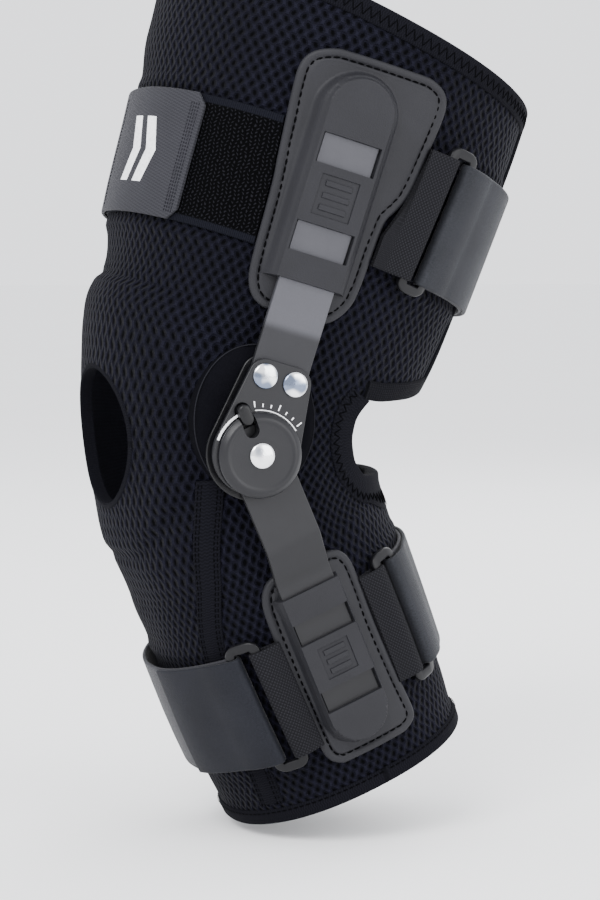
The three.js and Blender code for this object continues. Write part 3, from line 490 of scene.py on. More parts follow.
def canvas_webbing():
    """Webbing with a fine diagonal weave."""
    finish = Finish("canvas_webbing", Specular_IOR_Level=0.08)
    place, across, along = finish.weave()
    over = ((across + along * 0.8) * 5.0).wave() * 0.5 + 0.5
    under = ((across - along * 0.8) * 5.0).wave() * 0.5 + 0.5
    knots = over * under
    grain = finish.noise(place, 2.2, 3.0, 0.7)
    color = finish.blend((0.0010, 0.0010, 0.0014), (0.0185, 0.0185, 0.0220), knots * 0.68 + grain * 0.45)
    return finish.wear(color, 0.75 + grain * 0.15, knots * 0.14 + grain * 0.14, 1.0)


def velour():
    """Short velour that catches light at its rim."""
    finish = Finish("velour", Specular_IOR_Level=0.03)
    place = finish.place()
    nap = finish.noise(place, 1500, 3.0, 0.7)
    brushed = finish.noise(place, 90, 3.0, 0.6)
    color = finish.blend((0.0006, 0.0006, 0.0010), (0.0038, 0.0038, 0.0055), nap * 0.7 + brushed * 0.5)
    return finish.wear(color, 0.95, nap * 0.12 + brushed * 0.15, 1.0)


def moulded(name, dark, light, rough, grain_depth=0.05, **fixed):
    """A moulded face with a fine texture, a little uneven in gloss."""
    finish = Finish(name, **fixed)
    place = finish.place()
    grain = finish.noise(place, 1900, 3.0, 0.6)
    patches = finish.noise(place, 45, 3.0, 0.6)
    soft_patches = finish.noise(place, 140, 3.0, 0.55)
    color = finish.blend(dark, light, grain * 0.55 + patches * 0.55)
    return finish.wear(color, rough - 0.08 + soft_patches * 0.16 + grain * 0.05, grain, grain_depth)


def coated_steel(name, dark, light, shade=1.0):
    """Steel under a satin coat, with faint brush lines. Between the hinge and the bend the colour is
    darkened by the share shade, a painted shade where the bar faces away from the light, and in the
    pocket it is a little darker, a painted shade of the pocket round the bar."""
    finish = Finish(name, Metallic=0.55, Specular_IOR_Level=0.5)
    place = finish.place()
    past_bend = finish.weave()[1]
    grain = finish.noise(place, 1300, 3.0, 0.6)
    brush = finish.noise(place, 60, 5.0, 0.7)
    color = finish.blend(dark, light, grain * 0.35 + brush * 0.65)
    # Painted shade: a darker copy of the coat between the hinge and the bend, and another where the pocket
    # covers the bar.
    painted_bend_shade, painted_pocket_shade = (
        finish.blend([value * share for value in dark], [value * share for value in light], brush)
        for share in (shade, 0.80))
    color = finish.blend(color, painted_pocket_shade, past_bend.step(18, 22))
    color = finish.blend(painted_bend_shade, color, past_bend.step(-1.5, 2.5))
    return finish.wear(color, 0.36 + brush * 0.14, grain * 0.4 + brush * 0.4, 0.04)


def polished_rivet():
    """A bright rivet with a painted reflection: soft dark and light patches in its colour, with fine scuffs.
    """
    finish = Finish("polished_rivet", Metallic=1.0)
    place = finish.place()
    # Painted reflection: the colour runs from a dark blue-grey to near white in soft patches.
    soft_patches = finish.noise(place, 150, 1.0, 0.5)
    scuff = finish.noise(place, 900, 3.0, 0.6)
    color = finish.blend((0.16, 0.19, 0.26), (0.90, 0.91, 0.92), soft_patches.step(0.36, 0.54))
    return finish.wear(color, 0.06 + scuff * 0.12, scuff + soft_patches * 2, 0.05)


def white_print():
    finish = Finish("white_print", Roughness=0.6)
    speck = finish.noise(finish.place(), 900, 3.0, 0.6)
    color = finish.blend((0.70, 0.70, 0.72), (0.92, 0.92, 0.93), speck.step(0.3, 0.6))
    return finish.wear(color, 0.55 + speck * 0.1, speck, 0.02)


def thread(name, dark, light):
    finish = Finish(name, Specular_IOR_Level=0.02)
    twist = finish.noise(finish.place(), 2500, 2.0, 0.6)
    return finish.wear(finish.blend(dark, light, twist), 0.6 + twist * 0.2, twist, 0.08)


def studio_floor():
    finish = Finish("studio_floor", Roughness=0.9)
    cloud = finish.noise(finish.place(), 3.0, 2.0)
    return finish.wear(finish.blend((0.95, 0.95, 0.95), (0.97, 0.97, 0.97), cloud), 0.85 + cloud * 0.1)


FABRIC = spacer_mesh()
LINING = fine_knit("lining_knit", (0.002, 0.002, 0.003), (0.009, 0.009, 0.013))
SMOOTH_KNIT = fine_knit("smooth_knit", (0.0012, 0.0012, 0.0018), (0.0060, 0.0060, 0.0090))
TAPE = ribbed_tape()
PILE = loop_pile()
STRAP = smooth_strap("smooth_strap", (0.0145, 0.0155, 0.0210))
# A lighter copy of the strap's finish for the straps round the back: a painted sheen, for the light that they
# catch where they turn away round the leg.
SHEEN_REAR_STRAP = smooth_strap("rear_smooth_strap_sheen", (0.026, 0.0275, 0.033))
TAB = tab_grain()
WEBBING = canvas_webbing()
VELOUR = velour()
POCKET = moulded("pocket_rubber", (0.006, 0.006, 0.0075), (0.016, 0.016, 0.019), 0.5, 0.09,
                 Specular_IOR_Level=0.18)
PLASTIC = moulded("hinge_plastic", (0.004, 0.004, 0.005), (0.008, 0.008, 0.010), 0.33, 0.03,
                  Specular_IOR_Level=0.28)
BUCKLE = moulded("buckle_plastic", (0.0025, 0.0025, 0.0032), (0.0060, 0.0060, 0.0072), 0.33, 0.03,
                 Specular_IOR_Level=0.20)
LEVER_PLASTIC = moulded("lever_plastic", (0.0015, 0.0015, 0.002), (0.003, 0.003, 0.004), 0.3, 0.03,
                        Specular_IOR_Level=0.25)
# One coated steel in two copies: a lighter one on the upper bar, darkened by the share 0.30 between hinge and
# bend as painted shade, and a much darker one on the lower bar, a painted shade where it faces away from the
# light.
LIT_UPPER_STEEL = coated_steel("upper_bar_steel_lit", (0.046, 0.046, 0.053), (0.074, 0.074, 0.084), 0.30)
SHADED_LOWER_STEEL = coated_steel("lower_bar_steel_shaded", (0.009, 0.009, 0.010), (0.016, 0.016, 0.018))
CHROME = polished_rivet()
PRINT = white_print()
BLACK_THREAD = thread("black_thread", (0.0002, 0.0002, 0.0003), (0.0016, 0.0016, 0.002))
GREY_THREAD = thread("grey_thread", (0.006, 0.006, 0.008), (0.018, 0.018, 0.022))


# Meshes
EDGE_ANGLE = 40


def make_piece(name, points, faces, finish, slot, stands_for=(), weave=None, side=1, body="orthosis",
               closed=True, edge_angle=EDGE_ANGLE):
    """A mesh piece. side -1 is its mirror image on the inner side."""
    points = np.asarray(points, float).reshape(-1, 3) / 1000 * np.array([side, 1, 1])
    mesh = bpy.data.meshes.new(name)
    mesh.from_pydata(points.tolist(), [], [list(face)[::side] for face in faces])
    if weave is not None:
        layer = mesh.attributes.new("weave", "FLOAT_VECTOR", "POINT")
        flat = np.zeros((len(points), 3), np.float32)
        flat[:, :2] = np.asarray(weave, float).reshape(-1, 2)
        layer.data.foreach_set("vector", flat.ravel())
    if closed:
        work = bmesh.new()
        work.from_mesh(mesh)
        bmesh.ops.recalc_face_normals(work, faces=work.faces)
        work.to_mesh(mesh)
        work.free()
    mesh.shade_smooth()
    mesh.set_sharp_from_angle(angle=math.radians(edge_angle))
    mesh.materials.append(finish)
    piece = bpy.data.objects.new(name, mesh)
    bpy.context.scene.collection.objects.link(piece)
    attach(piece, body)
    if stands_for:
        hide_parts(*stands_for)
    return piece


def grid_faces(rows, columns, ring=False, flip=False):
    """Quads between neighbours of a grid of points, held row by row. A ring joins the last column to
    the first."""
    index = np.arange(rows * columns).reshape(rows, columns)
    if ring:
        index = np.concatenate([index, index[:, :1]], 1)
    quads = np.stack([index[:-1, :-1], index[:-1, 1:], index[1:, 1:], index[1:, :-1]], -1)
    quads = quads.reshape(-1, 4)
    return quads[:, ::-1] if flip else quads


def tube_faces(count, size, ring=False):
    """Faces round a row of rings of points, capped at both ends unless the row is a ring itself."""
    last = (count - 1) * size
    if ring:
        ends = [[last + i, last + (i + 1) % size, (i + 1) % size, i] for i in range(size)]
    else:
        ends = [list(range(size))[::-1], [last + i for i in range(size)]]
    return grid_faces(count, size, ring=True).tolist() + ends


def tube(name, rings, finish, slot, ring=False, **more):
    """A closed body through rings of points, (rings, points of each, 3)."""
    rings = np.asarray(rings, float)
    return make_piece(name, rings, tube_faces(*rings.shape[:2], ring), finish, slot, **more)


def slab_faces(rows, columns):
    """Faces of a body between two grids of points: both grids, and the sides between their rims."""
    size = rows * columns
    index = np.arange(size).reshape(rows, columns)
    rim = np.concatenate([index[0, :], index[1:, -1], index[-1, -2::-1], index[-2:0:-1, 0]])
    after = np.roll(rim, -1)
    sides = np.stack([rim, after, after + size, rim + size], -1)
    low, high = grid_faces(rows, columns, flip=True), grid_faces(rows, columns) + size
    return np.concatenate([low, high, sides]).tolist()


def slab(name, low, high, finish, slot, weave, **more):
    """A closed body between two grids of points, (rows, columns, 3)."""
    both = np.concatenate([weave.reshape(-1, 2)] * 2)
    points = np.concatenate([low.reshape(-1, 3), high.reshape(-1, 3)])
    return make_piece(name, points, slab_faces(*low.shape[:2]), finish, slot, weave=both, **more)


def joined(name, bodies, finish, slot, **more):
    """One piece of many small bodies, each a pair of points and faces."""
    points, faces, start = [], [], 0
    for body_points, body_faces in bodies:
        points.append(np.asarray(body_points, float).reshape(-1, 3))
        faces += [[start + i for i in face] for face in body_faces]
        start += len(points[-1])
    return make_piece(name, np.concatenate(points), faces, finish, slot, **more)


def cut_out(piece, cutter):
    """Takes the cutter's space out of the piece."""
    cut = piece.modifiers.new("cut", "BOOLEAN")
    cut.operation, cut.solver, cut.object = "DIFFERENCE", "EXACT", cutter
    bpy.context.view_layer.update()
    evaluated = piece.evaluated_get(bpy.context.evaluated_depsgraph_get())
    mesh = bpy.data.meshes.new_from_object(evaluated)
    piece.modifiers.clear()
    piece.data = mesh
    mesh.set_sharp_from_angle(angle=math.radians(EDGE_ANGLE))
    bpy.data.objects.remove(cutter)


def round_edges(piece, width):
    """Rounds the piece's sharp edges by a width in millimetres."""
    bevel = piece.modifiers.new("edges", "BEVEL")
    bevel.width = width / 1000
    bevel.segments = 2
    bevel.limit_method = "ANGLE"
    bevel.angle_limit = math.radians(35)
    bevel.harden_normals = False


def walk(points, pitch):
    """Places at an even pitch along a line of points, with the way that it runs at each."""
    points = np.asarray(points, float)
    steps = np.linalg.norm(np.diff(points, axis=0), axis=1)
    run = np.concatenate([[0], np.cumsum(steps)])
    count = max(2, int(run[-1] / pitch) + 1)
    at = np.linspace(0, run[-1], count)
    placed, ahead, back = (
        np.stack([np.interp(at + offset, run, points[:, k]) for k in range(points.shape[1])], -1)
        for offset in (0, 0.3, -0.3))
    return placed, unit(ahead - back)


def stitch(middle, way, up, length, width, height):
    """A short rounded stitch that lies on a face: points and faces."""
    across = np.cross(up, way)
    ring = [(-0.5, -0.3), (0.5, -0.3), (0.38, 0.55), (0.0, 0.8), (-0.38, 0.55)]
    rows = []
    for along, size in ((-0.5, 0.35), (-0.3, 0.9), (0.0, 1.0), (0.3, 0.9), (0.5, 0.35)):
        rise = height * (1 - (2 * along) ** 2 * 0.8)
        rows.append([middle + way * along * length + across * a * width * size + up * b * rise
                     for a, b in ring])
    return np.array(rows), tube_faces(len(rows), len(ring))


def stitch_line(line, normals, pitch, length, width, height):
    """Stitches along a line of points on a face."""
    joined_line = np.concatenate([line, normals], 1)
    placed, ways = walk(joined_line, pitch)
    bodies = []
    for k in range(len(placed) - 1):
        middle, up = placed[k, :3], unit(placed[k, 3:])
        way = unit(ways[k, :3] - up * np.dot(ways[k, :3], up))
        bodies.append(stitch(middle, way, up, length, width, height))
    return bodies


# Edges of the sleeve
def top_hem(u):
    """The run of the upper hem, which is highest in front."""
    return THIGH_LENGTH * 1.012 - 0.047 * THIGH_LENGTH * np.sin(u)


KNEECAP_U, KNEECAP_V = math.radians(-82), 6.5
KNEECAP_TURN, KNEECAP_RUN = math.radians(27), 17.5

# About how many millimetres a radian takes, round the knee and round the thigh
KNEE_RADIUS, THIGH_RADIUS = 55, 70

# The outer edge of the opening down the back: v as a share of the knee's depth, u in degrees
BACK_EDGE = [
    (-0.19, 74), (-0.175, 58), (-0.13, 45), (-0.03, 38), (0.09, 34.5), (0.20, 33.5), (0.305, 35),
    (0.335, 45), (0.37, 57), (0.405, 68), (0.52, 70), (0.75, 70), (1.00, 70), (1.20, 70), (1.36, 70),
]
HOLLOW_TOP, FLAP_CORNER = 6, 9
EDGE_ROWS = np.array([(math.radians(u), v * KNEE_DEPTH) for v, u in BACK_EDGE])


def back_edge(row):
    """A place on that edge by its row in the table, whole or part, as (u, v)."""
    at = np.arange(len(EDGE_ROWS))
    return np.stack([np.interp(row, at, EDGE_ROWS[:, 0]), np.interp(row, at, EDGE_ROWS[:, 1])], -1)


def softened(path, times=2, ring=False):
    """The path with its corners cut, each time by a quarter of the runs beside it."""
    path = np.asarray(path, float)
    for _ in range(times):
        ahead = np.roll(path, -1, 0) if ring else path[1:]
        here = path if ring else path[:-1]
        cut = np.stack([0.75 * here + 0.25 * ahead, 0.25 * here + 0.75 * ahead], 1).reshape(-1, 2)
        path = cut if ring else np.concatenate([path[:1], cut, path[-1:]])
    return path


def in_kneecap(u, v):
    return ((u - KNEECAP_U) / KNEECAP_TURN) ** 2 + ((v - KNEECAP_V) / KNEECAP_RUN) ** 2 < 1


def in_back_opening(u, v):
    edge = np.interp(v, EDGE_ROWS[:, 1], EDGE_ROWS[:, 0])
    behind = np.abs((u - math.pi / 2 + math.pi) % (2 * math.pi) - math.pi)
    return (behind < math.pi / 2 - edge) & (v > EDGE_ROWS[0, 1])


# The front panel round the kneecap: its edge as (degrees round the leg, run)
PANEL_EDGE = [
    (-107, 52), (-88, 52), (-68, 50), (-52, 48.5), (-36, 45), (-24, 37), (-19, 22), (-21, 5),
    (-28, -5), (-38, -11), (-56, -21), (-72, -23), (-88, -23), (-104, -23), (-122, -20), (-138, -10),
    (-149, 3), (-153, 20), (-149, 36), (-138, 45), (-124, 50),
]


def distance_to(outline, along, side):
    """The distance from places to a closed outline, below 0 outside it."""
    along, side = np.broadcast_arrays(along, side)
    least, inside = np.full(along.shape, 1e9), np.zeros(along.shape, bool)
    for (x0, y0), (x1, y1) in zip(outline, np.roll(outline, -1, 0)):
        dx, dy = x1 - x0, y1 - y0
        share = np.clip(((along - x0) * dx + (side - y0) * dy) / (dx * dx + dy * dy + 1e-12), 0, 1)
        least = np.minimum(least, np.hypot(along - x0 - share * dx, side - y0 - share * dy))
        crosses = (y0 > side) != (y1 > side)
        inside ^= crosses & (along < dx * (side - y0) / (dy + 1e-12) + x0)
    return np.where(inside, least, -least)


def panel_distance(u, v):
    """How far inside the front panel's edge a place lies, in millimetres, below 0 outside it."""
    radius = 56.0
    edge = softened([(math.radians(a) * radius, b) for a, b in PANEL_EDGE], 2, ring=True)
    return distance_to(edge, np.asarray(u) * radius, np.asarray(v, float))


def soft_ridge(x, middle, half):
    return np.exp(-((x - middle) / half) ** 2)


def relief(u, v):
    """How far the sleeve's face stands off its plain form: the panel's raised edge and its seam, the
    round of the knee over the kneecap's opening, the swell beside each strap, and soft folds."""
    turn = (u + math.pi * 1.5) % (2 * math.pi) - math.pi * 1.5
    inside = panel_distance(np.where(turn > math.radians(30), turn - 2 * math.pi, turn), v)
    lift = 1.3 * smooth_step(-0.6, 2.6, inside) * (1 - 0.75 * smooth_step(5, 15, inside))
    lift -= 0.55 * soft_ridge(inside, -1.4, 1.3)
    lift += 3.0 * soft_ridge(v, 38, 9.5) * smooth_step(-0.35, -0.95, np.sin(turn))
    from_sides = (np.abs((turn + math.pi) % (2 * math.pi) - math.pi), np.abs(np.abs(turn) - math.pi))
    away = math.prod(smooth_step(math.radians(20), math.radians(34), turned) for turned in from_sides)
    for low, high, facing in ((THIGH_STRAP_LOW, THIGH_STRAP_HIGH, -1), (CALF_STRAP_LOW, CALF_STRAP_HIGH, -1),
                              (REAR_STRAP_LOW, REAR_STRAP_HIGH, 1), (CALF_REAR_LOW, CALF_REAR_HIGH, 1)):
        strapped = smooth_step(-0.1, 0.3, facing * np.sin(turn))
        lift += strapped * 0.9 * (soft_ridge(v, low - 3.6, 2.6) + soft_ridge(v, high + 3.6, 2.6))
    ripple = np.sin(turn * 5 + v * 0.11) * np.sin(v * 0.16 - turn * 3)
    folds = smooth_step(-62, -34, v) * smooth_step(-8, -24, v)
    lift += 0.5 * ripple * (0.5 + folds)
    return lift * away


def weave_place(u, v):
    """Where a place of the sleeve lies on its cloth, in millimetres."""
    return np.stack([(u - KNEECAP_U) * (reach_round(u * 0, v) * 0.5 + 30), v + u * 0], -1)


def opening_outlines():
    """Places along the edges of the openings, close together, as (angle, run)."""
    turns = np.linspace(0, 2 * math.pi, 300)
    rim = np.stack([KNEECAP_U + KNEECAP_TURN * np.cos(turns), KNEECAP_V + KNEECAP_RUN * np.sin(turns)], -1)
    corners = np.concatenate([[[math.pi / 2, EDGE_ROWS[0, 1]]], EDGE_ROWS])
    outer = walk(corners * [KNEE_RADIUS, 1], 0.4)[0] / [KNEE_RADIUS, 1]
    inner = np.stack([-math.pi - outer[:, 0], outer[:, 1]], -1)
    return np.concatenate([rim, outer, inner])


def make_sleeve_sheet(name, columns, rows, lift, finish, flip, stands_for):
    """A face of the sleeve as a sheet, with its openings left out and cut clean along their edges."""
    t = np.linspace(0, 1, rows)[:, None]
    u = np.broadcast_to(np.linspace(-1.5 * math.pi, 0.5 * math.pi, columns)[None, :], (rows, columns))
    v = -CALF_LENGTH + (top_hem(u) + CALF_LENGTH) * t
    faces = grid_faces(rows, columns, flip=flip)
    middle_u, middle_v = u.ravel()[faces].mean(1), v.ravel()[faces].mean(1)
    open_here = in_kneecap(middle_u, middle_v) | in_back_opening(middle_u, middle_v)
    rim = np.intersect1d(faces[open_here], faces[~open_here])
    u, v = u.copy(), v.copy()
    outline = opening_outlines()
    apart_u, apart_v = (grid.ravel()[rim, None] - outline[:, k] for k, grid in enumerate((u, v)))
    apart = apart_u ** 2 * KNEE_RADIUS ** 2 + apart_v ** 2
    nearest = outline[apart.argmin(1)]
    close = apart.min(1) < 2.5 ** 2
    u.ravel()[rim[close]], v.ravel()[rim[close]] = nearest[close].T
    points = on_sleeve(u, v, lift(u, v))
    faces = faces[~open_here]
    used, faces = np.unique(faces, return_inverse=True)
    points, weave = points.reshape(-1, 3)[used], weave_place(u, v).reshape(-1, 2)[used]
    return make_piece(name, points, faces.reshape(-1, 4).tolist(), finish, "spacer_mesh",
                      stands_for=stands_for, weave=weave, closed=False, edge_angle=80)


make_sleeve_sheet("sleeve_mesh", 280, 240, relief, FABRIC, False, ["sleeve"])
make_sleeve_sheet("sleeve_lining", 120, 110, lambda u, v: np.full(u.shape, -SLEEVE_WALL), LINING, True,
                  ())


# Edgings
def left_steps(path, ring):
    """How u and v change with each millimetre along the sleeve to the left of a path."""
    ahead, behind = (np.roll(path, k, 0) for k in (-1, 1))
    if not ring:
        ahead[-1], behind[0] = path[-1], path[0]
    u, v = path.T
    left = unit(np.cross(outward(u, v), surface(*ahead.T) - surface(*behind.T)))
    by_turn = (surface(u + 0.01, v) - surface(u - 0.01, v)) / 0.02
    by_run = surface(u, v + 0.5) - surface(u, v - 0.5)
    uu, uv, vv = ((a * b).sum(-1) for a, b in ((by_turn, by_turn), (by_turn, by_run), (by_run, by_run)))
    left_u, left_v = (left * by_turn).sum(-1), (left * by_run).sum(-1)
    scale = uu * vv - uv * uv
    return np.stack([(left_u * vv - left_v * uv) / scale, (left_v * uu - left_u * uv) / scale], -1)


def edging_point(path, steps, aside, lift):
    u, v = path[:, 0] + aside * steps[:, 0], path[:, 1] + aside * steps[:, 1]
    return on_sleeve(u, v, np.full(len(path), lift))


def zigzag(path, steps, near, far, lift, pitch=1.85):
    """Slanting stitches to and fro along an edging, between two distances from its edge."""
    lines = [edging_point(path, steps, -aside, lift) for aside in (near, far)]
    placed = walk(np.concatenate([*lines, outward(*path.T)], 1), pitch * 1.4)[0]
    bodies = []
    for k, (here, ahead) in enumerate(zip(placed, placed[1:])):
        start, end = (here[:3], ahead[3:6]) if k % 2 else (here[3:6], ahead[:3])
        way = unit(end - start)
        up = unit(here[6:] - way * np.dot(here[6:], way))
        bodies.append(stitch((start + end) / 2, way, up, math.dist(start, end) * 1.05, 0.42, 0.34))
    return bodies


def make_edging(name, path, width, thick, finish, node, side=1, ring=False, sewn=None, seam=None):
    """An edging folded over the sleeve's edge, with the open side on the path's left. sewn gives the
    zigzag's distances from the edge, seam that of a straight line of stitches. clear is the room
    between the edging and the sleeve."""
    clear = 0.3
    middle, half = -SLEEVE_WALL / 2, SLEEVE_WALL / 2 + clear + thick
    profile = [(-width, -0.5), (-width - 0.1, 0.35), (-width + 0.5, thick), (-0.66 * width, clear + thick)]
    profile += [(-0.33 * width, clear + thick)]
    for angle in np.radians(np.linspace(90, -90, 9)):
        profile.append((0.1 + (clear + thick) * 0.95 * math.cos(angle), middle + half * math.sin(angle)))
    profile += [(-0.5 * width, middle - half), (-0.7 * width, -SLEEVE_WALL + 0.3)]
    path = np.asarray(path, float)
    steps = left_steps(path, ring)
    rings = np.stack([edging_point(path, steps, aside, lift) for aside, lift in profile], 1)
    places = surface(*path.T)
    runs = np.concatenate([[0], np.cumsum(np.linalg.norm(np.diff(places, axis=0), axis=1))])
    around = np.cumsum([0] + [math.dist(a, b) for a, b in zip(profile, profile[1:])])
    weave = np.stack(np.meshgrid(around, runs), -1)
    tube(name, rings, finish, "edge_tape", ring=ring, weave=weave, side=side, stands_for=[node],
         edge_angle=70)
    lift = clear + thick + 0.02
    if sewn:
        joined(name + "_stitches", zigzag(path, steps, *sewn, lift), BLACK_THREAD, "edge_tape", side=side)
    if seam:
        line = edging_point(path, steps, -seam, lift)
        bodies = stitch_line(line, outward(*path.T), 2.6, 2.0, 0.45, 0.3)
        joined(name + "_seam", bodies, BLACK_THREAD, "edge_tape", side=side)


corner = EDGE_ROWS[-1, 0]
hem_turns = np.linspace(math.pi - corner, 2 * math.pi + corner, 170)
make_edging("top_hem_tape", np.stack([hem_turns, top_hem(hem_turns)], -1), 6.8, 0.8, SMOOTH_KNIT,
            "top_binding", sewn=(1.4, 5.4))
ring_turns = np.linspace(2 * math.pi, 0, 150, endpoint=False)
make_edging("bottom_hem_tape", np.stack([ring_turns, np.full(150, -CALF_LENGTH)], -1), 5.2, 0.8,
            SMOOTH_KNIT, "bottom_binding", ring=True, seam=4.2)
rim_turns = np.linspace(0, 2 * math.pi, 72, endpoint=False)
rim_path = np.stack([KNEECAP_U + KNEECAP_TURN * np.cos(rim_turns),
                     KNEECAP_V + KNEECAP_RUN * np.sin(rim_turns)], -1)
make_edging("kneecap_edge", rim_path[::-1], 1.7, 0.35, SMOOTH_KNIT, "kneecap_rim", ring=True)
hollow_side = back_edge(np.arange(HOLLOW_TOP, -0.1, -0.5))
mirrored_side = np.stack([math.pi - hollow_side[::-1, 0], hollow_side[::-1, 1]], -1)
floor_u = np.linspace(hollow_side[-1, 0], math.pi - hollow_side[-1, 0], 8)[1:-1]
floor = np.stack([floor_u, np.full(6, hollow_side[-1, 1])], -1)
make_edging("hollow_edge", softened(np.concatenate([hollow_side, floor, mirrored_side])), 10, 0.7,
            SMOOTH_KNIT, "hollow_binding", sewn=(6.2, 9.2))
for side, label in ((1, "outer"), (-1, "inner")):
    tape_path = np.concatenate([back_edge(np.arange(FLAP_CORNER, HOLLOW_TOP, -0.5)),
                                back_edge(HOLLOW_TOP)[None] + [[math.radians(-2.5), 0.5]]])
    make_edging(f"{label}_flap_hem", softened(tape_path), 6.5, 1.0, TAPE, f"{label}_flap_tape", side)
    flap_v = np.linspace(EDGE_ROWS[FLAP_CORNER, 1] + 1, top_hem(corner) - 0.5, 60)
    flap_path = np.stack([np.interp(flap_v, EDGE_ROWS[:, 1], EDGE_ROWS[:, 0]), flap_v], -1)[::-1]
    make_edging(f"{label}_flap_side", flap_path, 4, 1.0, TAPE, f"{label}_flap_edge", side)

# The pockets' outlines, from the mouth end to the far end: share of the pocket's length, front and back
# as shares of the bar's width
UPPER_OUTLINE = [
    (0.000, 0.52, 0.50), (0.018, 0.70, 0.66), (0.060, 0.84, 0.83), (0.130, 0.92, 0.97), (0.400, 0.95, 1.01),
    (0.450, 0.96, 1.05), (0.490, 0.97, 1.18), (0.550, 1.00, 1.31), (0.640, 1.03, 1.36), (0.820, 1.09, 1.47),
    (0.905, 1.10, 1.50), (0.955, 1.00, 1.44), (0.985, 0.80, 1.28), (1.000, 0.54, 1.05),
]
LOWER_OUTLINE = [
    (0.000, 0.45, 0.62), (0.020, 0.61, 0.82), (0.090, 0.77, 0.95), (0.220, 0.81, 0.94), (0.385, 0.81, 0.91),
    (0.550, 0.81, 0.92), (0.705, 0.79, 0.94), (0.860, 0.78, 0.99), (0.930, 0.75, 1.00), (0.975, 0.66, 0.93),
    (1.000, 0.50, 0.70),
]
BASE_THICK = 2.4
TUNNEL_WALL = 1.4


class Pocket:
    """A moulded pocket: its outline, and where the bar lies in it."""

    def __init__(self, frame, outline, start, length, front_way, bend_from, end, mouth, tip, windows, square,
                 tunnel):
        self.frame, self.start, self.length, self.front_way = frame, start, length, front_way
        self.tunnel_half, self.tunnel_slope = tunnel
        self.rows = np.array(outline)
        self.mouth, self.tip = start + mouth * length, start + tip * length
        self.windows = [(start + a * length, start + b * length) for a, b in windows]
        self.square = (start + square[0] * length, start + square[1] * length)
        self.bend_from, self.bend_to, self.end = bend_from, start + 0.045 * length, start + end * length
        seat = GAP + BASE_THICK + GAP
        near, middle, far = (self.surface_out(a, seat) for a in (
            self.bend_to, (self.bend_to + self.end) / 2, self.end))
        lift = max(0, middle - (near + far) / 2)
        self.near_out, self.far_out = near + lift, far + lift

    def surface_out(self, along, lift):
        sides = np.array([-0.5, 0, 0.5]) * BAR_WIDTH
        return float(self.frame.on_sleeve(np.full(3, along), sides, lift)[:, 0].max())

    def bar_out(self, along):
        """The bar's inner face where it stands in the pocket, carried on past its end."""
        share = (along - self.bend_to) / (self.end - self.bend_to)
        return self.near_out + (self.far_out - self.near_out) * share

    def reach(self, along, column):
        """How far the pocket reaches from the bar's middle line to its front (1) or its back (2)."""
        share = (np.asarray(along, float) - self.start) / self.length
        return np.interp(share, *softened(self.rows[:, [0, column]], 2).T) * BAR_WIDTH

    def outline(self, pitch=1.0):
        """The outline as points (along, side), once round."""
        front, back = (
            softened(self.rows[:, [0, k]], 2) * [self.length, BAR_WIDTH * way] + [self.start, 0]
            for k, way in ((1, self.front_way), (2, -self.front_way)))
        loop = np.concatenate([front, back[::-1], front[:1]])
        return walk(loop, pitch)[0][:-1]

    def edge_turn(self, v, back):
        """The angle round the leg of the pocket's front or back edge at a run along the leg."""
        along = np.linspace(self.start, self.start + self.length, 60)
        side = self.reach(along, 2 if back else 1) * self.front_way * (-1 if back else 1)
        place = self.frame.at(along, side, 0)
        edge_u, edge_v = leg_place(place[:, 1], place[:, 2])
        order = np.argsort(edge_v)
        return np.interp(v, edge_v[order], edge_u[order])


BEND_FROM = 2.28 * HINGE_RADIUS
UPPER_POCKET = Pocket(UPPER, UPPER_OUTLINE, 0.315 * THIGH_LENGTH, UPPER_POCKET_LENGTH, 1, BEND_FROM, 0.8,
                      0.122, 0.929, [(0.230, 0.342), (0.566, 0.679)], (0.378, 0.531), (14.6, 1.9))
LOWER_POCKET = Pocket(LOWER, LOWER_OUTLINE, 0.353 * CALF_LENGTH, LOWER_POCKET_LENGTH, -1, BEND_FROM, 0.833,
                      0.109, 0.923, [(0.244, 0.353), (0.603, 0.712)], (0.397, 0.558), (12.6, 0.8))


def capsule_distance(along, side, end, radius):
    """How far inside a strip with one round end a place lies; the strip runs on the other way."""
    past = np.maximum(along - (end - radius), 0)
    return radius - np.hypot(past, side)


# The pocket's rim: its rows from the tunnel's foot to the edge, and where its seam runs
FLANGE_STEPS = np.array([0.16, 0.32, 0.46, 0.56, 0.64, 0.71, 0.77, 0.83, 0.88, 0.925, 0.96, 0.985, 1.0])
SEAM_IN = 3.3
SEAM_PITCH = 3.1

# Its steps and ribs: half the width of a crisp step, where the ribs run and half the width of one
CRISP = 0.09
RIB_SHARES = (0.2, 0.5, 0.8)
RIB_HALF = 1.0


